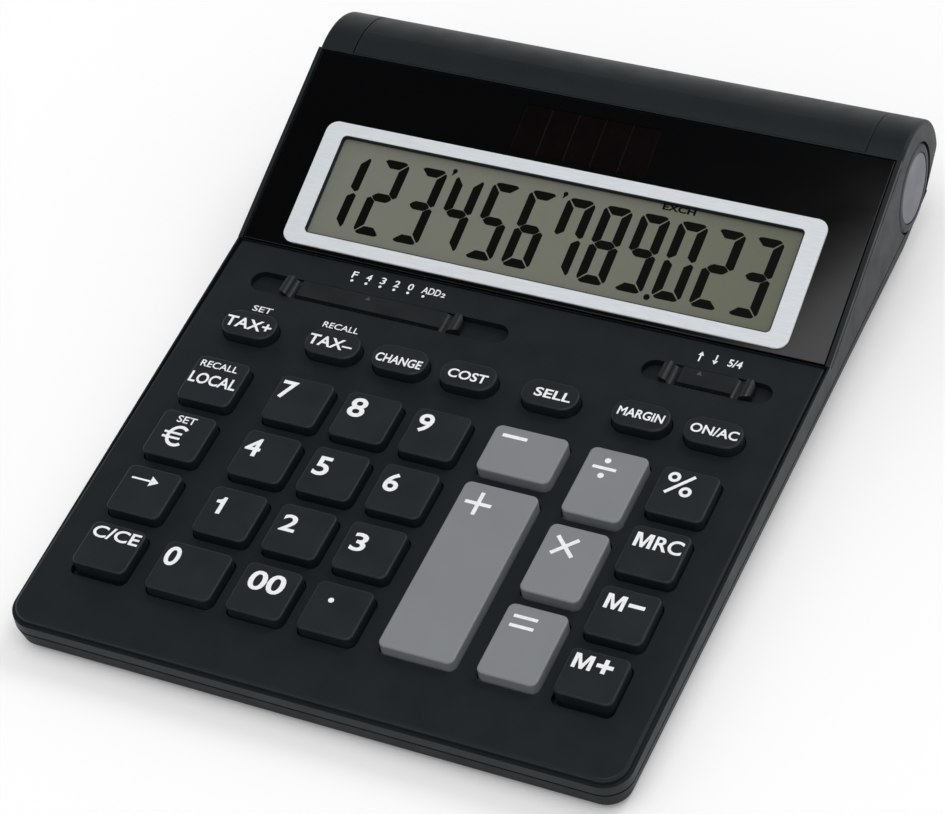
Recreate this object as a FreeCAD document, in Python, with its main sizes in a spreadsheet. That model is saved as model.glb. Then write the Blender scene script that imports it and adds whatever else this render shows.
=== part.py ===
import FreeCAD, Part
import Sketcher
import math
import os
from FreeCAD import Placement, Rotation, Vector

# Desktop calculator with a tilted display and a barrel-shaped rear edge.
# Millimetres. X runs to the right, Y to the rear, Z up; the origin lies on the table,
# under the middle of the outer box. The driving dimensions are in the sheet "sizes".

SIZES = {
    # overall form
    "body_width": 154.0,
    "body_depth": 201.0,
    "body_height": 37.0,
    "front_narrowing": 1.5,
    "front_corner": 6.5,
    "keyboard_share": 0.614,
    "keyboard_tilt": 2.88,
    "plate_front_height": 10.4,
    "screen_setback": 7.45,
    "screen_drop": 0.9,
    "display_step": 0.6,
    "barrel_radius": 18.05,
    "rear_wall_angle": 41.0,
    "nose_round": 3.0,
    "end_round": 0.9,
    # shells
    "parting_height": 6.35,
    "parting_tilt": 1.75,
    "plate_thickness": 1.8,
    "wall": 2.0,
    "side_wall": 3.6,
    "tub_floor": 1.6,
    "tub_draft": 2.6,
    "tub_edge": 1.0,
    "seam_bevel": 0.25,
    "rim_width": 0.45,
    "rim_drop_front": 1.5,
    "rim_rise_rear": 0.35,
    "line_depth": 0.35,
    "line_width": 0.45,
    "line_drop": 1.45,
    "groove_width": 0.5,
    "groove_depth": 1.1,
    "plate_edge_round": 0.7,
    # keys: places and sizes suit a key field this wide and a plate this long,
    # and stretch with them
    "layout_width": 132.5,
    "layout_length": 123.4,
    "side_margin": 10.75,
    "key_clearance": 0.38,
    "key_width": 13.8,
    "key_depth": 13.8,
    "digit_pitch": 17.7,
    "row_pitch": 17.8,
    "key_rise": 2.8,
    "key_travel": 1.5,
    "key_corner": 1.7,
    "key_edge": 0.5,
    "key_short": 1.2,
    "first_row": 23.1,
    "wide_key": 16.6,
    "add_width": 18.1,
    "add_depth": 49.0,
    "add_front": 17.2,
    "operator_width": 14.2,
    "operator_depth": 19.8,
    "operator_pitch": 23.5,
    "operator_first": 27.1,
    "first_digit_column": -37.05,
    "add_column": 20.2,
    "operator_column": 41.7,
    "pill_width": 14.0,
    "pill_depth": 7.8,
    "pill_row": 95.55,
    "flange_gap": 0.25,
    "flange_thickness": 0.7,
    "flange_reach": 0.8,
    "stem_length": 1.0,
    "stem_diameter": 5.0,
    # slide switches
    "slot_row": 111.7,
    "slot_depth": 6.2,
    "trough_depth": 1.8,
    "trough_floor": 1.0,
    "trough_wall": 1.4,
    "switch_step": 3.8,
    "switch_clearance": 0.2,
    "decimal_slot": 68.4,
    "decimal_slot_centre": -33.2,
    "decimal_steps": 5,
    "decimal_rest_step": 2,
    "rounding_slot": 32.0,
    "rounding_slot_centre": 51.2,
    "rounding_steps": 2,
    "rounding_rest_step": 1,
    "slider_top": 0.15,
    "slider_play": 0.15,
    "slider_corner": 2.0,
    "slider_end_play": 0.7,
    "grip_radius": 1.4,
    "grip_height": 1.2,
    "grip_valley": 1.3,
    "neck_length": 8.6,
    "neck_width": 2.4,
    "neck_play": 0.3,
    "neck_corner": 0.6,
    "retainer_length": 14.0,
    "retainer_width": 5.0,
    "retainer_thickness": 1.0,
    "wiper_length": 7.0,
    "wiper_width": 3.4,
    "wiper_thickness": 0.6,
    "wiper_play": 0.1,
    # display
    "panel_thickness": 1.2,
    "panel_gap": 0.25,
    "panel_rim": 1.35,
    "panel_edge": 0.25,
    "tray_play": 0.05,
    "tray_floor": 1.5,
    "bezel_side": 9.85,
    "bezel_share": 0.6235,
    "bezel_front": 1.4,
    "bezel_proud": 0.5,
    "bezel_corner": 3.0,
    "bezel_border_x": 5.1,
    "bezel_border_y": 3.45,
    "bezel_lip": 2.8,
    "window_corner": 1.2,
    "window_recess": 0.9,
    "glass_border": 2.0,
    "glass_thickness": 2.2,
    "glass_play": 0.2,
    "holder_border": 4.4,
    "holder_thickness": 1.85,
    "solar_width": 35.6,
    "solar_share": 0.238,
    "solar_gap": 1.7,
    "solar_thickness": 2.2,
    "solar_recess": 0.1,
    # rear cover and end caps
    "cover_width": 135.4,
    "cover_gap": 0.15,
    "cover_front": 0.6,
    "disc_rise": 1.25,
    "disc_shift": 0.7,
    "cap_radius": 11.36,
    "cap_shoulder": 1.5,
    "cap_length": 2.2,
    "cap_play": 0.12,
    "hub_radius": 5.8,
    "hub_length": 3.0,
    "disc_radius": 8.8,
    "disc_thickness": 1.2,
    "disc_recess": 1.3,
    # inside and underside
    "board_thickness": 1.2,
    "board_margin": 11.5,
    "board_front": 8.1,
    "board_rear": 6.3,
    "keypad_rear": 7.0,
    "keypad_thickness": 0.7,
    "dome_height": 0.55,
    "dome_diameter": 8.0,
    "foot_height": 1.5,
    "foot_diameter": 12.0,
    "foot_recess": 0.5,
    "screw_diameter": 2.5,
    "screw_head": 4.6,
    "boss_diameter": 6.6,
    "boss_inset": 7.4,
    "boss_front": 9.5,
    "boss_middle": 3.6,
    "boss_rear": 13.0,
    "boss_step": 0.8,
    "foot_inset": 17.0,
    "foot_rear": 9.0,
    "head_seat": 2.4,
    "pilot_depth": 7.0,
    "pilot_cover": 1.1,
    "post_radius": 1.7,
    "cell_diameter": 11.6,
    "cell_height": 5.4,
    "cell_x": 20.0,
    "cell_y": 48.0,
    "cell_offset": 3.0,
    "cell_play": 0.25,
    "battery_frame": 4.0,
    "battery_plate": 1.2,
    "battery_ring": 1.5,
    "door_width": 20.0,
    "door_depth": 28.0,
    "door_gap": 0.15,
    "door_corner": 1.2,
    "door_screw": 4.5,
    "ribbon_width": 24.0,
    "ribbon_thickness": 0.3,
}

doc = FreeCAD.newDocument("desktop_calculator")
sheet = doc.addObject("Spreadsheet::Sheet", "sizes")
for row, (alias, value) in enumerate(SIZES.items(), start=1):
    sheet.set("A%d" % row, alias)
    sheet.set("B%d" % row, str(value))
    sheet.setAlias("B%d" % row, alias)
doc.recompute()


def size(alias):
    return float(sheet.get(alias))


def derive(alias, value):
    """Adds a size that follows from others to the sheet, so that sketches can use it."""
    cell = "B%d" % (len(SIZES) + len(DERIVED) + 2)
    DERIVED.append(alias)
    sheet.set(cell.replace("B", "A"), alias)
    sheet.set(cell, "%.4f" % value)
    sheet.setAlias(cell, alias)
    sheet.recompute()
    return value


DERIVED = []

# Places that several pieces share, worked out from the sheet

# reach of the blocks that cut right through: beyond the body, and up and down
FAR = 400.0
UPWARD = 60.0
DOWNWARD = 20.0
HALF = size("body_width") / 2
FRONT = -size("body_depth") / 2
REAR = size("body_depth") / 2
BELLY = size("foot_height")
KEY_TILT = math.radians(size("keyboard_tilt"))
PARTING_TILT = math.radians(size("parting_tilt"))
KEYBOARD = derive("keyboard_length", size("body_depth") * size("keyboard_share"))
HINGE_Y = FRONT + KEYBOARD * math.cos(KEY_TILT)
HINGE_Z = size("plate_front_height") + KEYBOARD * math.sin(KEY_TILT)
AXIS_Y = REAR - size("barrel_radius")
AXIS_Z = size("body_height") - size("barrel_radius")
SCREEN_TOP_Y = AXIS_Y - size("screen_setback")
SCREEN_TOP_Z = size("body_height") - size("screen_drop")
STEP_Y = HINGE_Y - size("display_step") * math.sin(KEY_TILT)
STEP_Z = HINGE_Z + size("display_step") * math.cos(KEY_TILT)
SCREEN_TILT = math.atan2(SCREEN_TOP_Z - STEP_Z, SCREEN_TOP_Y - STEP_Y)
SCREEN = derive("display_length", math.hypot(SCREEN_TOP_Y - STEP_Y, SCREEN_TOP_Z - STEP_Z))
DISC_Y = AXIS_Y + size("disc_shift")
DISC_Z = AXIS_Z + size("disc_rise")

# Sizes that stretch with the body

STRETCH_X = (size("body_width") - 2 * size("side_margin")) / size("layout_width")
STRETCH_Y = KEYBOARD / size("layout_length")
SQUARE_WIDTH = derive("square_width", size("key_width") * STRETCH_X)
SQUARE_DEPTH = derive("square_depth", size("key_depth") * STRETCH_Y)
SHORT_DEPTH = derive("short_depth", (size("key_depth") - size("key_short")) * STRETCH_Y)
WIDE_WIDTH = derive("wide_width", size("wide_key") * STRETCH_X)
PLUS_WIDTH = derive("plus_width", size("add_width") * STRETCH_X)
PLUS_DEPTH = derive("plus_depth", size("add_depth") * STRETCH_Y)
TALL_WIDTH = derive("tall_width", size("operator_width") * STRETCH_X)
TALL_DEPTH = derive("tall_depth", size("operator_depth") * STRETCH_Y)
OVAL_WIDTH = derive("oval_width", size("pill_width") * STRETCH_X)
OVAL_DEPTH = derive("oval_depth", size("pill_depth") * STRETCH_Y)

# The display, measured along its slope from the keyboard plate

PANEL_WIDTH = derive("panel_width", size("body_width") - 2 * size("panel_rim"))
PANEL_END = SCREEN - 2.4 * size("panel_gap")
PANEL_DEPTH = derive("panel_depth", PANEL_END - size("panel_gap"))
BEZEL_WIDTH = derive("bezel_width", PANEL_WIDTH - 2 * size("bezel_side"))
BEZEL_DEPTH = derive("bezel_depth", SCREEN * size("bezel_share"))
BEZEL_Y = size("bezel_front") + BEZEL_DEPTH / 2
WINDOW_WIDTH = derive("window_width", BEZEL_WIDTH - 2 * size("bezel_border_x"))
WINDOW_DEPTH = derive("window_depth", BEZEL_DEPTH - 2 * size("bezel_border_y"))
GLASS_WIDTH = derive("glass_width", WINDOW_WIDTH + 2 * size("glass_border"))
GLASS_DEPTH = derive("glass_depth", WINDOW_DEPTH + 2 * size("glass_border"))
SOLAR_DEPTH = derive("solar_depth", SCREEN * size("solar_share"))
SOLAR_Y = size("bezel_front") + BEZEL_DEPTH + size("solar_gap") + SOLAR_DEPTH / 2
TRAY_DEPTH = size("panel_thickness") + size("tray_play")
GLASS_BOTTOM = -(size("window_recess") + size("glass_thickness"))
HOLDER_TOP = -(TRAY_DEPTH + size("tray_floor"))
HOLDER_BOTTOM = HOLDER_TOP - size("holder_thickness")

# Depths below the top of the keyboard plate

FLANGE_TOP = -(size("plate_thickness") + size("flange_gap"))
FLANGE_BOTTOM = FLANGE_TOP - size("flange_thickness")
STEM_BOTTOM = FLANGE_BOTTOM - size("stem_length")
DOME_TOP = STEM_BOTTOM - size("key_travel") - 0.2
KEYPAD_TOP = DOME_TOP - size("dome_height")
BOARD_TOP = KEYPAD_TOP - size("keypad_thickness")
BOARD_BOTTOM = BOARD_TOP - size("board_thickness")
PAD_BOTTOM = -(size("trough_depth") + size("trough_floor"))


def on_plate(x, along, above=0.0):
    """Placement on the keyboard plate: along runs up its slope from the front edge."""
    y = FRONT + along * math.cos(KEY_TILT) - above * math.sin(KEY_TILT)
    z = size("plate_front_height") + along * math.sin(KEY_TILT) + above * math.cos(KEY_TILT)
    return Placement(Vector(x, y, z), Rotation(Vector(1, 0, 0), size("keyboard_tilt")))


def on_screen(x, along, above=0.0):
    """Placement on the display slope: along runs up it from the step behind the plate."""
    y = STEP_Y + along * math.cos(SCREEN_TILT) - above * math.sin(SCREEN_TILT)
    z = STEP_Z + along * math.sin(SCREEN_TILT) + above * math.cos(SCREEN_TILT)
    return Placement(Vector(x, y, z), Rotation(Vector(1, 0, 0), math.degrees(SCREEN_TILT)))


def placed(shape, placement):
    moved = shape.copy()
    moved.Placement = placement.multiply(moved.Placement)
    return moved


def block(x0, x1, y0, y1, z0, z1):
    return Part.makeBox(x1 - x0, y1 - y0, z1 - z0, Vector(x0, y0, z0))


def rounded_block(width, depth, corner, z0, z1, x=0.0, y=0.0):
    """Upright block centred on x, y whose four vertical edges are rounded."""
    solid = block(x - width / 2, x + width / 2, y - depth / 2, y + depth / 2, z0, z1)
    radius = min(corner, width / 2 - 0.01, depth / 2 - 0.01)
    upright = [e for e in solid.Edges if abs(e.tangentAt(e.FirstParameter).z) > 0.9]
    return solid.makeFillet(radius, upright)


def along_x(outline, x0, x1):
    """Solid between x0 and x1 with the outline, a list of (y, z) points."""
    points = [Vector(x0, y, z) for y, z in outline]
    return Part.Face(Part.makePolygon(points + points[:1])).extrude(Vector(x1 - x0, 0, 0))


def rod(radius, x0, x1, y, z):
    return Part.makeCylinder(radius, x1 - x0, Vector(x0, y, z), Vector(1, 0, 0))


def joined(shapes):
    return shapes[0].multiFuse(shapes[1:]).removeSplitter() if len(shapes) > 1 else shapes[0]


def parting(y):
    return size("parting_height") + (y - FRONT) * math.tan(PARTING_TILT)


# Named objects of the document

NODES = []


def feature(name, shape, placement=None):
    """A sub-part whose shape is worked out here from the sheet."""
    item = doc.addObject("Part::Feature", name)
    item.Label = name
    item.Shape = shape
    if placement is not None:
        item.Placement = placement
    NODES.append(item)
    return item


def new_body(name):
    body = doc.addObject("PartDesign::Body", name)
    body.Label = name
    NODES.append(body)
    return body


def origin_plane(body, role):
    return next(f for f in body.Origin.OriginFeatures if f.Role == role)


def edge_names(item, wanted):
    return ["Edge%d" % (i + 1) for i, e in enumerate(item.Shape.Edges) if wanted(e)]


def is_upright(edge):
    box = edge.BoundBox
    return box.ZLength > 0.3 and box.ZLength > 3 * max(box.XLength, box.YLength)


def refresh(body):
    """Recomputes one body and what it is made of."""
    doc.recompute([body])


def sketch_on(body, name, level, x, y):
    """Sketch on the body's XY plane, moved to x, y at the given level."""
    sketch = body.newObject("Sketcher::SketchObject", name)
    sketch.AttachmentSupport = (origin_plane(body, "XY_Plane"), [""])
    sketch.MapMode = "FlatFace"
    sketch.AttachmentOffset = Placement(Vector(x, y, 0), Rotation())
    sketch.setExpression("AttachmentOffset.Base.z", level)
    return sketch


def rectangle(body, name, width, depth, level="0", x=0.0, y=0.0):
    """Rectangle centred on x, y whose width and depth are expressions."""
    sketch = sketch_on(body, name, level, x, y)
    corners = [Vector(-5, -5, 0), Vector(5, -5, 0), Vector(5, 5, 0), Vector(-5, 5, 0)]
    for start, end in zip(corners, corners[1:] + corners[:1]):
        sketch.addGeometry(Part.LineSegment(start, end), False)
    rule = Sketcher.Constraint
    for side in range(4):
        sketch.addConstraint(rule("Coincident", side, 2, (side + 1) % 4, 1))
    sketch.addConstraint(rule("Horizontal", 0))
    sketch.addConstraint(rule("Horizontal", 2))
    sketch.addConstraint(rule("Vertical", 1))
    sketch.addConstraint(rule("Vertical", 3))
    sketch.addConstraint(rule("Symmetric", 0, 1, 1, 2, -1, 1))
    across = sketch.addConstraint(rule("DistanceX", 0, 1, 0, 2, 10.0))
    deep = sketch.addConstraint(rule("DistanceY", 1, 1, 1, 2, 10.0))
    sketch.setExpression("Constraints[%d]" % across, width)
    sketch.setExpression("Constraints[%d]" % deep, depth)
    return sketch


def circles(body, name, centres, radius, level="0"):
    """Circles of one radius, an expression, at a list of (x, y) centres."""
    sketch = sketch_on(body, name, level, 0.0, 0.0)
    rule = Sketcher.Constraint
    for x, y in centres:
        circle = sketch.addGeometry(Part.Circle(Vector(x, y, 0), Vector(0, 0, 1), 1.0), False)
        for kind, value in (("DistanceX", x), ("DistanceY", y)):
            sketch.addConstraint(rule(kind, -1, 1, circle, 3, value))
        wide = sketch.addConstraint(rule("Radius", circle, 1.0))
        sketch.setExpression("Constraints[%d]" % wide, radius)
    return sketch


def pad(body, name, sketch, length, downward=False):
    item = body.newObject("PartDesign::Pad", name)
    item.Profile = sketch
    item.setExpression("Length", length)
    item.Reversed = downward
    return item


def pocket(body, name, sketch, length):
    """Pocket that goes down from its sketch, and has to take material away."""
    refresh(body)
    before = body.Shape.Volume
    item = body.newObject("PartDesign::Pocket", name)
    item.Profile = sketch
    item.setExpression("Length", length)
    refresh(body)
    if body.Shape.Volume > before - 0.01:
        raise RuntimeError("%s cuts nothing" % name)
    return item


def fillet(body, name, base, edges, radius):
    item = body.newObject("PartDesign::Fillet", name)
    item.Base = (base, edges)
    item.setExpression("Radius", radius)
    return item


def edge_fillet(body, name, base, wanted, radius):
    refresh(body)
    return fillet(body, name, base, edge_names(base, wanted), radius)


# Places of the keys: four square columns, the wide plus and the tall operators

COLUMN_LEFT = -(HALF - size("side_margin") - SQUARE_WIDTH / 2)
COLUMN_RIGHT = -COLUMN_LEFT
COLUMN_7 = size("first_digit_column") * STRETCH_X
COLUMN_8 = COLUMN_7 + size("digit_pitch") * STRETCH_X
COLUMN_9 = COLUMN_8 + size("digit_pitch") * STRETCH_X
COLUMN_ADD = size("add_column") * STRETCH_X
COLUMN_OPERATOR = size("operator_column") * STRETCH_X
ROWS = [(size("first_row") + i * size("row_pitch")) * STRETCH_Y for i in range(4)]
PILLS = size("pill_row") * STRETCH_Y
PLUS_Y = size("add_front") * STRETCH_Y + PLUS_DEPTH / 2
MINUS_Y = ROWS[3] + 0.4
OPERATORS = [(size("operator_first") + i * size("operator_pitch")) * STRETCH_Y
             for i in range(3)]
SHORT_SHIFT = (SQUARE_DEPTH - SHORT_DEPTH) / 2
WIDE_X = COLUMN_7 + SQUARE_WIDTH / 2 - WIDE_WIDTH / 2

# Key forms: width and depth as expressions, then the size of the well
SQUARE = ("sizes.square_width", "sizes.square_depth", SQUARE_WIDTH, SQUARE_DEPTH)
SHORT = ("sizes.square_width", "sizes.short_depth", SQUARE_WIDTH, SQUARE_DEPTH)
WIDE = ("sizes.wide_width", "sizes.square_depth", WIDE_WIDTH, SQUARE_DEPTH)
PLUS = ("sizes.plus_width", "sizes.plus_depth", PLUS_WIDTH, PLUS_DEPTH)
MINUS = ("sizes.plus_width", "sizes.square_depth", PLUS_WIDTH, SQUARE_DEPTH)
TALL = ("sizes.tall_width", "sizes.tall_depth", TALL_WIDTH, TALL_DEPTH)
PILL = ("sizes.oval_width", "sizes.oval_depth", OVAL_WIDTH, OVAL_DEPTH)

# name, form, x, place along the plate
KEYS = [
    ("key_clear", SHORT, COLUMN_LEFT, ROWS[0]),
    ("key_backspace", SQUARE, COLUMN_LEFT, ROWS[1]),
    ("key_euro", SQUARE, COLUMN_LEFT, ROWS[2]),
    ("key_local", SQUARE, COLUMN_LEFT, ROWS[3]),
    ("key_0", WIDE, WIDE_X, ROWS[0]),
    ("key_00", SQUARE, COLUMN_8, ROWS[0]),
    ("key_point", SQUARE, COLUMN_9, ROWS[0]),
    ("key_plus", PLUS, COLUMN_ADD, PLUS_Y),
    ("key_minus", MINUS, COLUMN_ADD, MINUS_Y),
    ("key_equals", TALL, COLUMN_OPERATOR, OPERATORS[0]),
    ("key_times", TALL, COLUMN_OPERATOR, OPERATORS[1]),
    ("key_divide", TALL, COLUMN_OPERATOR, OPERATORS[2]),
    ("key_memory_plus", SHORT, COLUMN_RIGHT, ROWS[0]),
    ("key_memory_minus", SQUARE, COLUMN_RIGHT, ROWS[1]),
    ("key_memory_recall", SQUARE, COLUMN_RIGHT, ROWS[2]),
    ("key_percent", SQUARE, COLUMN_RIGHT, ROWS[3]),
    ("key_tax_plus", PILL, COLUMN_LEFT, PILLS),
    ("key_tax_minus", PILL, COLUMN_7, PILLS),
    ("key_change", PILL, COLUMN_8, PILLS),
    ("key_cost", PILL, COLUMN_9, PILLS),
    ("key_sell", PILL, COLUMN_ADD - 1.0, PILLS),
    ("key_margin", PILL, COLUMN_OPERATOR, PILLS),
    ("key_on_clear", PILL, COLUMN_RIGHT, PILLS),
]
for digit in range(1, 10):
    column = (COLUMN_7, COLUMN_8, COLUMN_9)[(digit - 1) % 3]
    KEYS.append(("key_%d" % digit, SQUARE, column, ROWS[1 + (digit - 1) // 3]))

# Places of switches, posts, bosses, feet, cover and battery

SLOT_ROW = size("slot_row") * STRETCH_Y
SLOTS = [(kind, size(kind + "_slot") * STRETCH_X, size(kind + "_slot_centre") * STRETCH_X,
          size(kind + "_steps") * size("switch_step")) for kind in ("decimal", "rounding")]
BOARD_POSTS = [((COLUMN_LEFT + COLUMN_7 - 2.8) / 2, ROWS[0] + size("row_pitch") / 2),
               ((COLUMN_9 + COLUMN_ADD - 2.2) / 2, ROWS[0] + size("row_pitch") / 2),
               ((COLUMN_LEFT + COLUMN_7 - 2.8) / 2, (ROWS[3] + PILLS + 3.0) / 2),
               ((COLUMN_OPERATOR + COLUMN_RIGHT) / 2, (ROWS[3] + PILLS + 3.0) / 2)]
BOSS_X = HALF - size("boss_inset")
BOSS_ROWS = (FRONT + size("boss_front"), FRONT + SLOT_ROW - size("boss_middle"),
             SCREEN_TOP_Y - size("boss_rear"))
CASE_SCREWS = [(x, y) for x in (-BOSS_X, BOSS_X) for y in BOSS_ROWS]
UPPER_BOSS = size("boss_diameter") / 2 - size("boss_step")
FOOT_X = HALF - size("foot_inset")
FEET = [(x, y) for x in (-FOOT_X, FOOT_X)
        for y in (FRONT + size("foot_inset"), SCREEN_TOP_Y - size("foot_rear"))]
HEAD_SEAT = BELLY + size("head_seat")
DOOR_X = size("cell_x")
DOOR_Y = size("cell_y")
CELL_Y = DOOR_Y - size("cell_offset")
CELL_SEAT = size("cell_diameter") / 2 + size("cell_play")
SCREW_PILOT = 0.85
TONGUE_X = 6.0
FLOOR_TOP = BELLY + size("tub_floor")
CELL_TOP = FLOOR_TOP + size("cell_height")
DOOR_SCREW_Y = DOOR_Y + size("door_depth") / 2 - size("door_screw")
COVER_HALF = derive("cover_half", size("cover_width") / 2 * STRETCH_X)
COVER_Y = SCREEN_TOP_Y + size("cover_front")
WIPER_TOP = BOARD_TOP + size("wiper_play") + size("wiper_thickness")
BOARD_FRONT = ROWS[0] - size("board_front")
BOARD_END = SLOT_ROW + size("board_rear")
KEYPAD_END = PILLS + size("keypad_rear")
derive("board_depth", BOARD_END - BOARD_FRONT)
derive("keypad_depth", KEYPAD_END - BOARD_FRONT)
derive("holder_height", PAD_BOTTOM - size("slider_play") - 0.9 - WIPER_TOP)
derive("seat_depth", HOLDER_TOP - GLASS_BOTTOM)
derive("wiper_top", WIPER_TOP)
for kind, length, _, travel in SLOTS:
    derive(kind + "_bar", length - travel - 2 * size("slider_end_play"))


# Keys: a cap with rounded corners and edges, a flange that stays under the plate and a
# stem that presses the dome

CAP_HEIGHT = size("flange_gap") + size("plate_thickness") + size("key_rise")


def key_blank(name, width, depth):
    """Flange and square-edged cap of one key."""
    body = new_body(name)
    flange = rectangle(body, name + "_flange_sketch", width + " + 2 * sizes.flange_reach",
                       depth + " + 2 * sizes.flange_reach")
    pad(body, name + "_flange", flange, "sizes.flange_thickness", downward=True)
    outline = rectangle(body, name + "_cap_sketch", width, depth)
    return body, pad(body, name + "_cap", outline,
                     "sizes.flange_gap + sizes.plate_thickness + sizes.key_rise")


def cap_corner(edge):
    return is_upright(edge) and edge.BoundBox.ZMax > CAP_HEIGHT - 0.01


def cap_rim(edge):
    return edge.BoundBox.ZMin > CAP_HEIGHT - 0.01


def key_stem(body, name):
    stem = body.newObject("PartDesign::AdditiveCylinder", name + "_stem")
    stem.setExpression("Radius", "sizes.stem_diameter / 2")
    stem.setExpression("Height", "sizes.stem_length + sizes.flange_thickness / 2")
    stem.setExpression("AttachmentOffset.Base.z",
                       "-sizes.flange_thickness - sizes.stem_length")


def keys():
    """All keys side by side: blanks first, then the corners, then the edges and stems."""
    blanks = [key_blank(name, form[0], form[1]) for name, form, _, _ in KEYS]
    doc.recompute()
    rounded = []
    for (name, form, _, _), (body, cap) in zip(KEYS, blanks):
        corner = "sizes.oval_depth / 2 - 0.3" if form is PILL else "sizes.key_corner"
        rounded.append(fillet(body, name + "_corners", cap, edge_names(cap, cap_corner), corner))
    doc.recompute()
    for (name, form, x, along), (body, _), cap in zip(KEYS, blanks, rounded):
        fillet(body, name + "_edge", cap, edge_names(cap, cap_rim), "sizes.key_edge")
        key_stem(body, name)
        shift = SHORT_SHIFT if form is SHORT else 0.0
        body.Placement = on_plate(x, along + shift, FLANGE_TOP)
    doc.recompute()


keys()


# Outer form of the two shells


def outline(level, front, half_front, half_rear, corner, inset=0.0):
    """Plan outline from the front edge to far behind the body; level(y) is its height."""
    far = FRONT + FAR
    y_front = front + inset
    wide = half_rear - inset
    slim = half_front - inset
    radius = max(corner - inset, 0.5)
    bend = radius * (1 - math.cos(math.pi / 4))

    def point(x, y):
        return Vector(x, y, level(y))

    def side(sign):
        return [point(sign * slim, y_front + radius),
                point(sign * (slim - bend), y_front + bend),
                point(sign * (slim - radius), y_front)]

    left, right = side(-1), side(1)
    edges = [
        Part.makeLine(point(-wide, far), point(-wide, HINGE_Y)),
        Part.makeLine(point(-wide, HINGE_Y), left[0]),
        Part.Arc(*left).toShape(),
        Part.makeLine(left[2], right[2]),
        Part.Arc(right[2], right[1], right[0]).toShape(),
        Part.makeLine(right[0], point(wide, HINGE_Y)),
        Part.makeLine(point(wide, HINGE_Y), point(wide, far)),
        Part.makeLine(point(wide, far), point(-wide, far)),
    ]
    return Part.Wire(edges)


def plan(inset=0.0):
    """Upright prism over the plan of the body."""
    wire = outline(lambda y: -5.0, FRONT, HALF - size("front_narrowing"), HALF,
                   size("front_corner"), inset)
    return Part.Face(wire).extrude(Vector(0, 0, 80))


def tub_outline(level, inset=0.0):
    return outline(level, FRONT, HALF - size("front_narrowing"), HALF,
                   size("front_corner"), inset)


def tub_foot(lift, inset=0.0):
    """Smaller outline of the flat underside."""
    half = HALF - size("tub_draft")
    return outline(lambda y: BELLY + lift, FRONT + 1.1, half, half,
                   size("front_corner") - 1.0, inset)


def tub():
    """Tapered form below the parting line, flat underneath and bevelled at its top."""
    bevel = size("seam_bevel")
    middle = tub_outline(lambda y: parting(y) - bevel)
    top = tub_outline(parting, bevel)
    return Part.makeLoft([tub_foot(0.0), middle, top], True, True)


def tub_hollow():
    """Inside of the tub, up to a little above the parting line."""
    top = tub_outline(lambda y: parting(y) + 1.0, size("wall"))
    return Part.makeLoft([tub_foot(size("tub_floor"), size("wall")), top], True, True)


def rear_slope(inset=0.0):
    """Space above the slanted lower rear wall, which touches the end caps' circle."""
    angle = math.radians(size("rear_wall_angle"))
    away = size("cap_radius") + 0.6 - inset
    y = DISC_Y + away * math.sin(angle)
    z = DISC_Z - away * math.cos(angle)
    reach = FAR
    run = Vector(0, math.cos(angle), math.sin(angle))
    inward = Vector(0, -math.sin(angle), math.cos(angle))
    centre = Vector(-FAR, y, z)
    points = [centre - run * reach, centre + run * reach,
              centre + run * reach + inward * reach, centre - run * reach + inward * reach]
    return Part.Face(Part.makePolygon(points + points[:1])).extrude(Vector(2 * FAR, 0, 0))


def barrel(inset=0.0, half=None):
    half = HALF if half is None else half
    solid = rod(size("barrel_radius") - inset, -half, half, AXIS_Y, AXIS_Z)
    solid = solid.common(rear_slope(inset))

    def nose(edge):
        box = edge.BoundBox
        return box.XLength > half and box.YMin > AXIS_Y and box.ZMax > DISC_Z - 6

    edges = [e for e in solid.Edges if nose(e)]
    return solid.makeFillet(max(size("nose_round") - inset, 0.5), edges)


def wedge(above=0.0, half=None):
    """Side profile in front of the barrel: keyboard plate, then display slope."""
    half = HALF if half is None else half
    front_top = on_plate(0, 0, above).Base
    hinge = on_plate(0, KEYBOARD, above).Base
    top = on_screen(0, SCREEN, above).Base
    step = on_screen(0, 0, above).Base
    points = [(FRONT, -5), (FRONT, front_top.z), (hinge.y, hinge.z), (step.y, step.z),
              (top.y, top.z), (top.y + 0.5, AXIS_Z + 12), (AXIS_Y, AXIS_Z), (AXIS_Y, -5)]
    return along_x(points, -half, half)


def above_parting(lift=0.0):
    y0, y1 = FRONT - 50, REAR + 50
    points = [(y0, parting(y0) + lift), (y1, parting(y1) + lift), (y1, 120), (y0, 120)]
    return along_x(points, -FAR, FAR)


def seam_strip():
    """Thin ring above the parting line, cut away so that the seam shows as a fine groove."""
    step = size("seam_bevel")
    return above_parting().cut(above_parting(step)).common(plan(-1.0)).cut(plan(step))


def outer_barrel():
    """Barrel with rounded ends, down to a little below the parting line."""
    front = AXIS_Y - size("barrel_radius") - 5
    low = parting(REAR) - 6
    solid = barrel().common(block(-FAR, FAR, front, FAR, low, 60))

    def end_rim(edge):
        middle = edge.CenterOfMass
        on_end = edge.BoundBox.XLength < 0.01
        return on_end and middle.y > AXIS_Y - 12 and middle.z > low + 0.5

    return solid.makeFillet(size("end_round"), [e for e in solid.Edges if end_rim(e)])


def outer_upper():
    """Skirt, rims, display cheeks and barrel ends as one closed form."""
    body = wedge().fuse(outer_barrel()).removeSplitter()
    return body.common(plan()).common(above_parting()).removeSplitter().cut(seam_strip())


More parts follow.
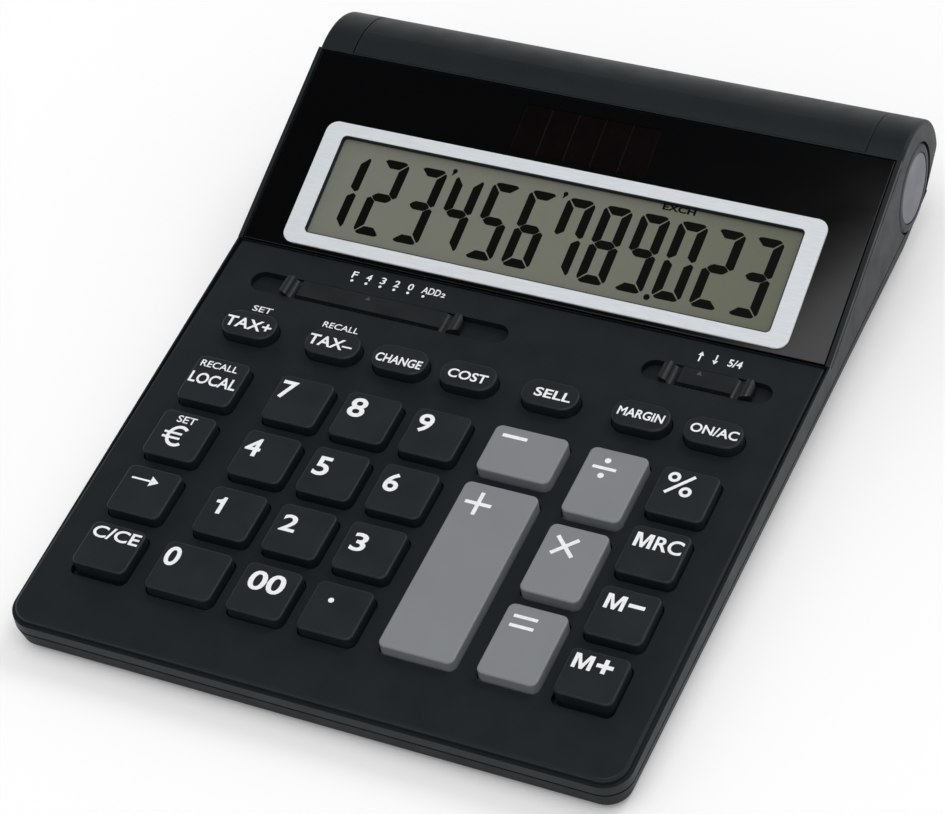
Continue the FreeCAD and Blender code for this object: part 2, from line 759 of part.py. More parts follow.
def keyboard_edges(body):
    """Cuts the sloping rim and the groove round the plate, then adds the plate."""
    length = KEYBOARD
    ledge = -size("groove_depth")
    rim = size("rim_width")
    inside = rim + size("groove_width")
    drop, rise = size("rim_drop_front"), size("rim_rise_rear")
    over_rim = placed(along_x([(-6, -drop), (-1, -drop), (length, rise), (length, 60),
                               (-6, 60)], -FAR, FAR), on_plate(0, 0))
    front_part = placed(block(-FAR, FAR, -5, length, -5, 60), on_plate(0, 0))
    cheek = wedge(rise).cut(wedge()).common(plan()).common(front_part)
    body = body.fuse(cheek).cut(over_rim)
    trench = placed(block(-FAR, FAR, -5, length, ledge, 20), on_plate(0, 0))
    body = body.cut(trench.common(plan(rim)))
    slab = placed(block(-FAR, FAR, -5, length, -3, 0), on_plate(0, 0)).common(plan(inside))

    def top_rim(edge):
        ends = [on_plate(0, 0).inverse().multVec(v.Point) for v in edge.Vertexes]
        return all(abs(p.z) < 0.01 and p.y < length - 0.01 or
                   abs(p.z) < 0.01 and abs(p.x) > HALF - 4 for p in ends)

    slab = slab.makeFillet(size("plate_edge_round"), [e for e in slab.Edges if top_rim(e)])
    return body.fuse(slab)


def display_rim_lines():
    """Fine grooves along the cheeks, a little below the display rims."""
    deep, wide, below = size("line_depth"), size("line_width"), size("line_drop")
    strip = block(HALF - deep, HALF + 1, 0.4, SCREEN - 1.5, -below - wide, -below)
    left = strip.mirror(Vector(0, 0, 0), Vector(1, 0, 0))
    return [placed(strip, on_screen(0, 0)), placed(left, on_screen(0, 0))]


def tray_cuts():
    """Recess for the gloss panel and the openings behind it."""
    inner = PANEL_WIDTH / 2 + size("panel_gap")
    recess = block(-inner, inner, 0, PANEL_END + size("panel_gap"), -TRAY_DEPTH, 20)
    play = 2 * size("glass_play")
    window = rounded_block(GLASS_WIDTH + play, GLASS_DEPTH + play, 0.3, -DOWNWARD, UPWARD,
                           0, BEZEL_Y)
    solar = rounded_block(size("solar_width") + play, SOLAR_DEPTH + play, 0.5, -DOWNWARD, UPWARD,
                          0, SOLAR_Y)
    front = placed(block(-inner, inner, KEYBOARD - 0.5, KEYBOARD + 1, 0, 5), on_plate(0, 0))
    return [front] + [placed(cut, on_screen(0, 0)) for cut in (recess, window, solar)]


def inner_upper():
    """Hollow of the upper shell."""
    inner = HALF - size("side_wall")
    front = size("wall") + 0.6
    under_plate = placed(block(-inner, inner, front, KEYBOARD + 1, -60,
                               -size("plate_thickness")), on_plate(0, 0))
    under_screen = placed(block(-inner, inner, -2, SCREEN - 5, -60, HOLDER_TOP),
                          on_screen(0, 0))
    return [under_plate, under_screen, barrel(size("wall"), inner)]


def skin(depth):
    """Everything deeper than this below the plate and the display slope."""
    plate_side = placed(block(-FAR, FAR, -50, KEYBOARD + 1, -80, -depth), on_plate(0, 0))
    screen_side = placed(block(-FAR, FAR, -1, SCREEN + 2, -80, -depth - 1.0), on_screen(0, 0))
    return plate_side.fuse(screen_side)


def pilot_top(y):
    """Height where the screw holes end, under the plate or the display tray."""
    if y < HINGE_Y:
        above = size("plate_front_height") + (y - FRONT) * math.tan(KEY_TILT)
    else:
        above = STEP_Z + (y - STEP_Y) * math.tan(SCREEN_TILT)
    return min(above - size("pilot_cover"), parting(y) + size("pilot_depth"))


def upper_bosses():
    """Screw posts that come down to the parting line."""
    posts = [Part.makeCylinder(UPPER_BOSS, 60, Vector(x, y, 0)) for x, y in CASE_SCREWS]
    room = skin(1.0).common(plan(0.5)).common(above_parting())
    return [post.common(room) for post in posts]


def pilot_holes():
    holes = []
    for x, y in CASE_SCREWS:
        radius = size("screw_diameter") / 2 + 0.05
        foot = parting(y) - 1.0
        holes.append(Part.makeCylinder(radius, pilot_top(y) - foot, Vector(x, y, foot)))
    return holes


def post_holes():
    return [placed(Part.makeCylinder(SCREW_PILOT, 4.0, Vector(0, 0, BOARD_TOP - 0.1)),
                   on_plate(x, along)) for x, along in BOARD_POSTS]


def wells():
    """Openings for the keys."""
    gap = size("key_clearance")
    cuts = []
    for _, form, x, along in KEYS:
        wide, deep = form[2], form[3]
        corner = deep / 2 + gap if form is PILL else size("key_corner") + gap
        well = rounded_block(wide + 2 * gap, deep + 2 * gap, corner, -DOWNWARD / 2, DOWNWARD)
        cuts.append(placed(well, on_plate(x, along)))
    return cuts


def trough_pads():
    """Thick pads under the plate that carry the switch troughs."""
    deep = size("slot_depth") + 2 * size("trough_wall")
    return [placed(rounded_block(length + 2 * size("trough_wall"), deep, deep / 2, PAD_BOTTOM, -1.0),
                   on_plate(centre, SLOT_ROW)) for _, length, centre, _ in SLOTS]


def trough_cuts():
    """Round-ended troughs with a narrow slot in the floor for the slider's neck."""
    cuts = []
    deep = size("slot_depth")
    for _, length, centre, travel in SLOTS:
        trough = rounded_block(length, deep, deep / 2, -size("trough_depth"), 10)
        neck = rounded_block(travel + size("neck_length") + 2 * size("neck_play"),
                             size("neck_width") + 2 * size("neck_play"),
                             size("neck_corner"), -DOWNWARD, UPWARD)
        cuts += [placed(trough, on_plate(centre, SLOT_ROW)),
                 placed(neck, on_plate(centre, SLOT_ROW))]
    return cuts


def board_posts():
    """Posts under the plate that the main board is screwed to."""
    length = -BOARD_TOP - 1.0
    return [placed(Part.makeCylinder(size("post_radius"), length, Vector(0, 0, BOARD_TOP)),
                   on_plate(x, along)) for x, along in BOARD_POSTS]


def cap_holes():
    """Round recesses for the end caps, and the holes for their hubs."""
    cuts = []
    for side in (-1, 1):
        out = side * (HALF + 5)
        seat = side * (HALF - size("cap_length"))
        deep = side * (HALF - size("cap_length") - 5)
        cuts.append(rod(size("cap_radius") + size("cap_play"), min(seat, out),
                        max(seat, out), DISC_Y, DISC_Z))
        cuts.append(rod(size("hub_radius") + size("cap_play"), min(deep, out),
                        max(deep, out), DISC_Y, DISC_Z))
    return cuts


def cover_space(gap):
    """The middle of the barrel, which the rear cover fills."""
    half = COVER_HALF + gap
    space = block(-half, half, COVER_Y - gap, REAR + 50, 0, 100)
    return space.common(above_parting(-1.0))


def cover_ledges():
    """Curved ledges at both ends that carry the rear cover."""
    depth = size("wall") + size("cover_gap")
    ring = barrel(depth, FAR / 2).cut(barrel(depth + 1.4, FAR / 2))
    ring = ring.common(above_parting()).common(block(-FAR, FAR, COVER_Y - 1, FAR, 0, 100))
    inner, outer = COVER_HALF - 1.6, HALF - size("side_wall") + 0.5
    return [ring.common(block(inner, outer, -FAR, FAR, 0, 100)),
            ring.common(block(-outer, -inner, -FAR, FAR, 0, 100))]


def end_webs():
    """Walls beside the rear cover that close the barrel ends."""
    webs = []
    for side in (-1, 1):
        x0 = side * (COVER_HALF + size("cover_gap"))
        x1 = side * (COVER_HALF + size("cover_gap") + 1.6)
        web = barrel(0.6, FAR / 2).common(block(min(x0, x1), max(x0, x1), COVER_Y - 2, FAR,
                                                0, 100)).common(above_parting())
        webs.append(web)
    return webs


def upper_housing():
    body = keyboard_edges(outer_upper())
    body = body.cut(inner_upper())
    body = body.fuse(end_webs() + trough_pads() + board_posts() + upper_bosses())
    body = body.cut(cover_space(size("cover_gap")))
    body = body.fuse(cover_ledges())
    cuts = tray_cuts() + wells() + trough_cuts() + cap_holes() + display_rim_lines()
    body = body.cut(cuts + pilot_holes() + post_holes())
    return body.removeSplitter()


def outer_lower():
    """Tapered tub up to the parting line, with eased edges."""
    body = tub().common(rear_slope())
    low = [e for e in body.Edges if e.BoundBox.ZMax < BELLY + 0.01]
    return body.makeFillet(size("tub_edge"), low)


def inner_lower():
    floor = BELLY + size("tub_floor")
    inner = HALF - size("side_wall")
    hollow = tub_hollow().common(rear_slope(size("wall")))
    return hollow.common(block(-inner, inner, -FAR, FAR, floor, 60))


def battery_box():
    """Raised plate, ring and roof that hold the button cell over its door."""
    wide = size("door_width") + size("battery_frame")
    deep = size("door_depth") + size("battery_frame")
    wall = size("battery_ring")
    plate = rounded_block(wide, deep, size("door_corner") + wall / 2, FLOOR_TOP - 0.1,
                          FLOOR_TOP + size("battery_plate"), DOOR_X, DOOR_Y)
    centre = Vector(DOOR_X, CELL_Y, FLOOR_TOP)
    ring = Part.makeCylinder(CELL_SEAT + wall, CELL_TOP - FLOOR_TOP + wall, centre)
    post = Part.makeCylinder(2.6, 6, Vector(DOOR_X, DOOR_SCREW_Y, FLOOR_TOP))
    return joined([plate, ring, post])


def battery_cuts():
    wide, deep = size("door_width"), size("door_depth")
    gap = size("door_gap")
    front = DOOR_Y - deep / 2
    left, right = DOOR_X - CELL_SEAT, DOOR_X + CELL_SEAT
    above_cell = CELL_TOP + 0.3
    cell = Part.makeCylinder(CELL_SEAT, above_cell - FLOOR_TOP + 1,
                             Vector(DOOR_X, CELL_Y, FLOOR_TOP - 1))
    door = rounded_block(wide + 2 * gap, deep + 2 * gap, size("door_corner"), 0, FLOOR_TOP,
                         DOOR_X, DOOR_Y)
    screw = Part.makeCylinder(SCREW_PILOT, 5, Vector(DOOR_X, DOOR_SCREW_Y, FLOOR_TOP - 1))
    tongues = [block(x - 2.2, x + 2.2, front - 1.6, front + 1, FLOOR_TOP - 0.75, FLOOR_TOP)
               for x in (DOOR_X - TONGUE_X, DOOR_X + TONGUE_X)]
    side = block(right - 1, right + 0.5, CELL_Y - 2, CELL_Y + 2, FLOOR_TOP + 0.2, CELL_TOP)
    tail = block(left - 4, left + 1, CELL_Y - 1.7, CELL_Y + 1.7, CELL_TOP, above_cell)
    return [cell, door, screw, side, tail] + tongues


def lower_housing():
    body = outer_lower().cut(inner_lower())
    bosses = [Part.makeCylinder(size("boss_diameter") / 2, 40, Vector(x, y, BELLY + 0.5))
              for x, y in CASE_SCREWS]
    keep = tub().common(plan(1.0))
    body = body.fuse([boss.common(keep) for boss in bosses] + [battery_box()])
    cuts = cap_holes() + battery_cuts()
    for x, y in CASE_SCREWS:
        head = size("screw_head") / 2 + 0.2
        shaft = size("screw_diameter") / 2 + 0.2
        cuts.append(Part.makeCylinder(head, HEAD_SEAT, Vector(x, y, 0)))
        cuts.append(Part.makeCylinder(shaft, 60, Vector(x, y, 0)))
    for x, y in FEET:
        radius = size("foot_diameter") / 2 + 0.1
        cuts.append(Part.makeCylinder(radius, BELLY + size("foot_recess"), Vector(x, y, 0)))
    return body.cut(cuts).removeSplitter()


def rear_cover():
    """Curved cover between the barrel ends, open towards the inside."""
    space = block(-COVER_HALF, COVER_HALF, COVER_Y, REAR + 50, 0, 100)
    shell = barrel(0, COVER_HALF).cut(barrel(size("wall"), COVER_HALF + 1))
    shell = shell.common(space).common(above_parting())

    def rim(edge):
        box = edge.BoundBox
        middle = edge.CenterOfMass
        away = math.hypot(middle.y - AXIS_Y, middle.z - AXIS_Z)
        return box.XLength < 0.01 and away > size("barrel_radius") - 1.2 and box.YLength > 5

    return shell.makeFillet(0.3, [e for e in shell.Edges if rim(e)])


feature("upper_housing", upper_housing())
feature("lower_housing", lower_housing())
feature("rear_cover", rear_cover())


# Plain pieces from primitives, whose sizes are expressions


def primitive(kind, name, **sizes):
    item = doc.addObject("Part::" + kind, name)
    for prop, expression in sizes.items():
        item.setExpression(prop.replace("_", "."), expression)
    return item


def slab(name, width, depth, height, x="0", y="0", z="0"):
    """Box centred on x, y that rises from z."""
    return primitive("Box", name, Length=width, Width=depth, Height=height,
                     Placement_Base_x="%s - (%s) / 2" % (x, width),
                     Placement_Base_y="%s - (%s) / 2" % (y, depth),
                     Placement_Base_z=z)


def drum(name, radius, height, x="0", y="0", z="0"):
    return primitive("Cylinder", name, Radius=radius, Height=height,
                     Placement_Base_x=x, Placement_Base_y=y, Placement_Base_z=z)


def fused(name, pieces):
    item = doc.addObject("Part::MultiFuse", name)
    item.Shapes = pieces
    return item


def finished(item, placement):
    """Takes the object on as a sub-part, at its place."""
    doc.recompute()
    item.Label = item.Name
    for axis in "xyz":
        item.setExpression("Placement.Base." + axis, None)
    item.Placement = placement.multiply(item.Placement)
    NODES.append(item)
    return item


# Display


def display_panel():
    """Gloss panel with openings for the display and the solar cell."""
    body = new_body("display_panel")
    middle = size("panel_gap") + PANEL_DEPTH / 2
    outline = rectangle(body, "panel_outline", "sizes.panel_width", "sizes.panel_depth",
                        "0", 0, middle)
    base = pad(body, "panel_pad", outline, "sizes.panel_thickness", downward=True)
    opening = rectangle(body, "panel_opening", "sizes.bezel_width - 2 * sizes.bezel_lip",
                        "sizes.bezel_depth - sizes.bezel_lip", "0", 0, BEZEL_Y)
    cut = pocket(body, "panel_opening_cut", opening, "sizes.panel_thickness")
    solar = rectangle(body, "solar_opening", "sizes.solar_width + 0.2",
                      "sizes.solar_depth + 0.2", "0", 0, SOLAR_Y)
    cut = pocket(body, "solar_opening_cut", solar, "sizes.panel_thickness")

    def outer_rim(edge):
        box = edge.BoundBox
        away = abs(edge.CenterOfMass.x) > PANEL_WIDTH / 2 - 0.1
        ends = abs(edge.CenterOfMass.y - middle) > PANEL_DEPTH / 2 - 0.1
        return box.ZMin > -0.01 and (away or ends)

    edge_fillet(body, "panel_edge", cut, outer_rim, "sizes.panel_edge")
    body.Placement = on_screen(0, 0)


def display_frame():
    """Silver frame with a neck that reaches through the panel."""
    body = new_body("display_frame")
    outline = rectangle(body, "frame_outline", "sizes.bezel_width", "sizes.bezel_depth")
    base = pad(body, "frame_pad", outline, "sizes.bezel_proud")
    corners = edge_fillet(body, "frame_corners", base, is_upright_short, "sizes.bezel_corner")
    neck = rectangle(body, "frame_neck", "sizes.bezel_width - 2 * sizes.bezel_lip - 0.4",
                     "sizes.bezel_depth - sizes.bezel_lip - 0.4")
    stem = pad(body, "frame_neck_pad", neck, "sizes.panel_thickness - 0.35", downward=True)
    window = rectangle(body, "frame_window", "sizes.window_width", "sizes.window_depth",
                       "sizes.bezel_proud")
    cut = pocket(body, "frame_window_cut", window, "sizes.bezel_proud + sizes.panel_thickness")

    def inner_corner(edge):
        middle = edge.CenterOfMass
        near = abs(abs(middle.x) - WINDOW_WIDTH / 2) < 0.05
        return is_upright_short(edge) and near

    rounded = edge_fillet(body, "frame_window_corners", cut, inner_corner,
                          "sizes.window_corner")
    refresh(body)

    def top_rim(edge):
        return edge.BoundBox.ZMin > size("bezel_proud") - 0.01

    fillet(body, "frame_edges", rounded, edge_names(rounded, top_rim), "0.2")
    body.Placement = on_screen(0, BEZEL_Y)


def is_upright_short(edge):
    box = edge.BoundBox
    return box.ZLength > 0.3 and box.XLength < 0.01 and box.YLength < 0.01


def lcd_holder():
    """Frame behind the display glass, face to face with the tray."""
    body = new_body("lcd_holder")
    outline = rectangle(body, "holder_outline", "sizes.glass_width + 2 * sizes.holder_border",
                        "sizes.glass_depth + sizes.holder_border")
    pad(body, "holder_pad", outline, "sizes.holder_thickness", downward=True)
    seat = rectangle(body, "holder_seat", "sizes.glass_width + 2 * sizes.glass_play",
                     "sizes.glass_depth + 2 * sizes.glass_play")
    pocket(body, "holder_seat_cut", seat, "sizes.seat_depth")
    light = rectangle(body, "holder_light", "sizes.window_width - 4", "sizes.window_depth - 4")
    pocket(body, "holder_light_cut", light, "sizes.holder_thickness")
    body.Placement = on_screen(0, BEZEL_Y, HOLDER_TOP)


display_panel()
display_frame()
lcd_holder()
finished(slab("lcd_glass", "sizes.glass_width", "sizes.glass_depth", "sizes.glass_thickness"),
         on_screen(0, BEZEL_Y, GLASS_BOTTOM))
finished(slab("display_board", "sizes.glass_width + 2 * sizes.holder_border",
              "sizes.glass_depth + sizes.holder_border", "sizes.board_thickness"),
         on_screen(0, BEZEL_Y, HOLDER_BOTTOM - size("board_thickness")))
finished(slab("solar_cell", "sizes.solar_width", "sizes.solar_depth",
              "sizes.solar_thickness"),
         on_screen(0, SOLAR_Y, -size("solar_recess") - size("solar_thickness")))


# End caps: a shouldered ring with a hub, and a light disc set into it


def end_cap(name, side):
    body = new_body(name)
    ring = circles(body, name + "_ring", [(0, 0)], "sizes.cap_radius")
    base = pad(body, name + "_ring_pad", ring, "sizes.cap_length")

    def shoulder(edge):
        return edge.BoundBox.ZMin > size("cap_length") - 0.01

    edge_fillet(body, name + "_shoulder", base, shoulder, "sizes.cap_shoulder")
    hub = circles(body, name + "_hub", [(0, 0)], "sizes.hub_radius")
    pad(body, name + "_hub_pad", hub, "sizes.hub_length", downward=True)
    seat = circles(body, name + "_seat", [(0, 0)], "sizes.disc_radius + 0.1",
                   "sizes.cap_length")
    pocket(body, name + "_seat_cut", seat, "sizes.disc_recess")
    x = side * (HALF - size("cap_length"))
    body.Placement = Placement(Vector(x, DISC_Y, DISC_Z), Rotation(Vector(0, 1, 0), 90 * side))


def end_disc(name, side):
    body = new_body(name)
    ring = circles(body, name + "_outline", [(0, 0)], "sizes.disc_radius")
    base = pad(body, name + "_pad", ring, "sizes.disc_thickness")
    refresh(body)
    bevel = body.newObject("PartDesign::Chamfer", name + "_edge")
    bevel.Base = (base, edge_names(base, lambda edge: edge.BoundBox.ZMin > 0.01))
    bevel.Size = 0.2
    x = side * (HALF - size("disc_recess"))
    body.Placement = Placement(Vector(x, DISC_Y, DISC_Z), Rotation(Vector(0, 1, 0), 90 * side))


for side, word in ((-1, "left"), (1, "right")):
    end_cap("end_cap_" + word, side)
    end_disc("end_disc_" + word, side)


# Boards and keypad inside



def main_board():
    body = new_body("main_board")
    middle = (BOARD_END + BOARD_FRONT) / 2
    outline = rectangle(body, "board_outline", "sizes.body_width - 2 * sizes.board_margin",
                        "sizes.board_depth")
    pad(body, "board_pad", outline, "sizes.board_thickness", downward=True)
    holes = circles(body, "board_holes", [(x, along - middle) for x, along in BOARD_POSTS],
                    "1.1")
    pocket(body, "board_holes_cut", holes, "sizes.board_thickness")
    body.Placement = on_plate(0, middle, BOARD_TOP)


def rubber_keypad():
    """Rubber sheet with a dome under every key."""
    body = new_body("rubber_keypad")
    middle = (KEYPAD_END + BOARD_FRONT) / 2
    outline = rectangle(body, "keypad_outline", "sizes.body_width - 2 * sizes.board_margin",
                        "sizes.keypad_depth")
    pad(body, "keypad_pad", outline, "sizes.keypad_thickness", downward=True)
    holes = circles(body, "keypad_holes", [(x, along - middle) for x, along in BOARD_POSTS],
                    "sizes.post_radius + 0.4")
    pocket(body, "keypad_holes_cut", holes, "sizes.keypad_thickness")
    places = [(x, along - middle) for _, _, x, along in KEYS]
    domes = circles(body, "keypad_domes", places, "sizes.dome_diameter / 2")
    pad(body, "keypad_domes_pad", domes, "sizes.dome_height")
    body.Placement = on_plate(0, middle, KEYPAD_TOP)


def sheet_strip(outline, thickness, x0, x1):
    """Bent strip of sheet along a list of (y, z) points on its lower face."""
    upper = [(y, z + thickness) for y, z in reversed(outline)]
    return along_x(outline + upper, x0, x1)


def display_cable():
    """Flat cable from the main board up to the display board."""
    low = on_plate(0, BOARD_END - 4, BOARD_TOP).Base
    bend = on_plate(0, BOARD_END + 0.5, BOARD_TOP).Base
    lift = size("ribbon_thickness") / math.cos(SCREEN_TILT)
    deep = HOLDER_BOTTOM - size("board_thickness")
    front = BEZEL_Y - (GLASS_DEPTH + size("holder_border")) / 2
    rise = on_screen(0, front + 0.2, deep).Base
    top = on_screen(0, front + 6, deep).Base
    outline = [(low.y, low.z), (bend.y, bend.z), (rise.y, rise.z - lift), (top.y, top.z - lift)]
    half = size("ribbon_width") / 2
    return sheet_strip(outline, lift, 18.0 - half, 18.0 + half)


main_board()
rubber_keypad()
feature("display_cable", display_cable())


# Slide switches: a bar with a raised grip near each end, a neck through the trough floor,
# a retainer below it and a holder for the wiper


def slide_switch(name, kind, length, centre):
    start = centre - length / 2 + size("slider_end_play")
    x = start + size(kind + "_rest_step") * size("switch_step") + size(kind + "_bar") / 2
    bottom = "-sizes.trough_depth + sizes.slider_play"
    wide = "sizes.slot_depth - 2 * sizes.switch_clearance"
    pieces = [slab(name + "_bar", "sizes.%s_bar" % kind, wide,
                   "sizes.slider_top + sizes.trough_depth - sizes.slider_play", z=bottom)]
    for side in ("-", ""):
        grip = drum(name + "_grip", "sizes.grip_radius", wide)
        place_across(grip, "%s(sizes.%s_bar / 2 - sizes.grip_radius)" % (side, kind), wide,
                     "sizes.grip_height - sizes.grip_radius")
        pieces.append(grip)
    neck_height = "sizes.trough_floor + 2 * sizes.slider_play + 0.1"
    neck_bottom = "-sizes.trough_depth - sizes.trough_floor - sizes.slider_play"
    pieces.append(slab(name + "_neck", "sizes.neck_length", "sizes.neck_width", neck_height,
                       z=neck_bottom))
    pieces.append(slab(name + "_retainer", "sizes.retainer_length", "sizes.retainer_width",
                       "sizes.retainer_thickness",
                       z=neck_bottom + " - sizes.retainer_thickness"))
    pieces.append(slab(name + "_holder", "sizes.wiper_length + 1", "sizes.wiper_width + 0.6",
                       "sizes.holder_height", z="sizes.wiper_top"))
    whole = fused(name + "_whole", pieces)
    valleys = []
    for side in ("-", ""):
        valley = drum(name + "_valley", "sizes.grip_valley", wide + " + 2")
        place_across(valley, "%s(sizes.%s_bar / 2 - 2 * sizes.grip_radius - 1)" % (side, kind),
                     wide + " + 2", "sizes.grip_valley - 0.45")
        valleys.append(valley)
    shaped = doc.addObject("Part::Cut", name + "_shaped")
    shaped.Base = whole
    shaped.Tool = fused(name + "_valleys", valleys)
    item = doc.addObject("Part::Common", name)
    item.Base = shaped
    item.Tool = slider_envelope(name, kind, wide)
    finished(item, on_plate(x, SLOT_ROW))
    wiper = slab(kind + "_contact", "sizes.wiper_length", "sizes.wiper_width",
                 "sizes.wiper_thickness", z="sizes.wiper_top - sizes.wiper_thickness")
    finished(wiper, on_plate(x, SLOT_ROW))


def slider_envelope(name, kind, wide):
    """Block with rounded upright corners that the whole slider keeps inside."""
    block = slab(name + "_block", "sizes.%s_bar" % kind, wide, "20", z="-15")
    doc.recompute()
    rounded = doc.addObject("Part::Fillet", name + "_envelope")
    rounded.Base = block
    radius = size("slider_corner")
    rounded.Edges = [(i + 1, radius, radius) for i, edge in enumerate(block.Shape.Edges)
                     if is_upright(edge)]
    return rounded


def place_across(cylinder, x, length, z):
    """Lays a cylinder along the plate's slope, centred on it."""
    cylinder.Placement = Placement(Vector(0, 0, 0), Rotation(Vector(1, 0, 0), -90))
    cylinder.setExpression("Placement.Base.x", x)
    cylinder.setExpression("Placement.Base.y", "-(%s) / 2" % length)
    cylinder.setExpression("Placement.Base.z", z)


for kind, length, centre, _ in SLOTS:
    slide_switch("switch_" + kind, kind, length, centre)


# Battery, its contacts and its door


def battery_door():
    """Door flush with the floor, with two tongues, grip lines and a screw hole."""
    body = new_body("battery_door")
    outline = rectangle(body, "door_outline", "sizes.door_width", "sizes.door_depth")
    base = pad(body, "door_pad", outline, "sizes.tub_floor", downward=True)
    edge_fillet(body, "door_corners", base, is_upright_short, "sizes.door_corner")
    deep = size("door_depth") / 2
    for x, word in ((-TONGUE_X, "left"), (TONGUE_X, "right")):
        tongue = rectangle(body, "door_tongue_" + word, "4", "2.2", "0", x, -deep - 0.3)
        pad(body, "door_tongue_pad_" + word, tongue, "0.65", downward=True)
    hole = circles(body, "door_hole", [(0, DOOR_SCREW_Y - DOOR_Y)], "1.15")
    pocket(body, "door_hole_cut", hole, "sizes.tub_floor")
    recess = circles(body, "door_recess", [(0, DOOR_SCREW_Y - DOOR_Y)], "2.1",
                     "-sizes.tub_floor + 1.1")
    pocket(body, "door_recess_cut", recess, "1.1")
    for i in range(4):
        line = rectangle(body, "door_line_%d" % i, "10", "0.7", "-sizes.tub_floor + 0.3",
                         0, -deep + 4 + 1.6 * i)
        pocket(body, "door_line_cut_%d" % i, line, "0.3")
    body.Placement = Placement(Vector(DOOR_X, DOOR_Y, FLOOR_TOP), Rotation())


def screw(x, y, seat, head_radius, head_height, radius, tip, slot):
    """Screw from below with a cross recess; the head's upper face lies on its seat."""
    head = Part.makeCylinder(head_radius, head_height, Vector(x, y, seat - head_height))
    shaft = Part.makeCylinder(radius, tip - seat + 0.1, Vector(x, y, seat - 0.1))
    cross = []
    for long, short in ((slot, slot * 0.25), (slot * 0.25, slot)):
        cross.append(block(x - long, x + long, y - short, y + short,
                           seat - head_height - 1, seat - head_height * 0.45))
    return joined([head, shaft]).cut(cross)


def case_screws():
    head = size("screw_head") / 2
    radius = size("screw_diameter") / 2
    return Part.makeCompound([screw(x, y, HEAD_SEAT, head, 1.4, radius,
                                    pilot_top(y) - 0.2, 1.3) for x, y in CASE_SCREWS])


def board_screws():
    bodies = [screw(0, 0, BOARD_BOTTOM, 1.6, 0.8, 0.8, BOARD_TOP + 2.2, 0.9)
              for _ in BOARD_POSTS]
    return Part.makeCompound([placed(body, on_plate(x, along))
                              for body, (x, along) in zip(bodies, BOARD_POSTS)])


battery_door()
feature("case_screws", case_screws())
feature("board_screws", board_screws())
feature("battery_door_screw", screw(DOOR_X, DOOR_SCREW_Y, BELLY + 1.0, 1.9, 0.9, 0.8,
                                    FLOOR_TOP + 2.6, 1.0))
cell_place = Placement(Vector(DOOR_X, CELL_Y, FLOOR_TOP), Rotation())
finished(fused("button_cell", [
    drum("cell_can", "sizes.cell_diameter / 2", "sizes.cell_height - 0.5"),
    drum("cell_cap", "sizes.cell_diameter / 2 - 1.4", "sizes.cell_height")]), cell_place)
finished(fused("battery_contact_top", [
    drum("contact_disc", "3.4", "0.25", z="sizes.cell_height"),
    slab("contact_tail", "8", "3", "0.25", x="-6.5", z="sizes.cell_height")]), cell_place)
finished(slab("battery_contact_side", "0.3", "3.4", "sizes.cell_height - 1",
              x="sizes.cell_diameter / 2 + 0.15", z="0.4"), cell_place)


def rubber_feet():
    """Four round feet, set into shallow recesses of the floor."""
    feet = []
    for x, y in FEET:
        foot = Part.makeCylinder(size("foot_diameter") / 2, BELLY + size("foot_recess"),
                                 Vector(x, y, 0))
        low = [e for e in foot.Edges if e.BoundBox.ZMax < 0.01]
        feet.append(foot.makeChamfer(0.4, low))
    return Part.makeCompound(feet)


feature("rubber_feet", rubber_feet())


def check_and_export():
    doc.recompute()
    os.makedirs("parts", exist_ok=True)
    for item in doc.Objects:
        if "Invalid" in item.State or "Error" in item.State:
            raise RuntimeError("%s did not recompute" % item.Name)
    for item in NODES:
        shape = item.Shape
        if shape.isNull() or not shape.isValid():
            raise RuntimeError("%s has no valid shape" % item.Label)
        shape.exportStep("parts/%s.step" % item.Label)
        print("%-22s solids %d volume %.1f" % (item.Label, len(shape.Solids), shape.Volume))
    print("nodes", len(NODES))


check_and_export()
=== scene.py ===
# Desktop calculator: finishes, printed legends, display segments, studio and camera.
import math
import bpy
import bmesh
from mathutils import Matrix, Vector


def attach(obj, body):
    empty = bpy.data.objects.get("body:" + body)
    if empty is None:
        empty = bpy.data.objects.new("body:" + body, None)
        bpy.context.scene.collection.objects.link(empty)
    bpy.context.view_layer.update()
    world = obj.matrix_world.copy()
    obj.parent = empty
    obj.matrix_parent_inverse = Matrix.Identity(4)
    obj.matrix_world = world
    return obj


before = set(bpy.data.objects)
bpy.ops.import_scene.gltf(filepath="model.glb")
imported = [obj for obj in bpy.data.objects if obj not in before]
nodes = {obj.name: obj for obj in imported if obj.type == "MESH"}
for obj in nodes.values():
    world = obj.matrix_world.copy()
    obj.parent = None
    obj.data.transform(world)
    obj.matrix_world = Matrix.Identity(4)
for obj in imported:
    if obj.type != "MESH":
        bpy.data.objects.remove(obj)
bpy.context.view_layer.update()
scene = bpy.context.scene
MM = 0.001


# Sloping faces of the calculator, as matrices from millimetres on the face to metres

def slope(y, z, degrees):
    """Face that rises to the rear from the line at y and z: x across, y up it, z out of it."""
    turn = Matrix.Rotation(math.radians(degrees), 4, "X")
    return Matrix.Translation((0, y * MM, z * MM)) @ turn @ Matrix.Scale(MM, 4)


PLATE = slope(-100.5, 10.4, 2.88)
SCREEN = slope(22.728, 17.2, 19.878)
# Levels over the plate: tops of the keys and of the slide switches' bars
KEY_TOP = 2.8
BAR_TOP = 0.15
# Level of the display's glass over its panel
GLASS_TOP = -0.9
# Marks stand this much over their face, and start this much under it
INK = 0.03
SUNK = 0.04


# Materials

# Rubbed edges: width in millimetres, how fast the rubbing grows round an edge, and how much
# lighter it leaves the plastic
RUBBED_WIDTH = 0.35
RUBBED_GAIN = 4.0
RUBBED_TONE = 1.9
# Values between which Blender's noise mostly stays
NOISE_LOW = 0.3
NOISE_HIGH = 0.7
# A Mix node's colour sockets
MIX_FIRST = 6
MIX_SECOND = 7
MIX_RESULT = 2


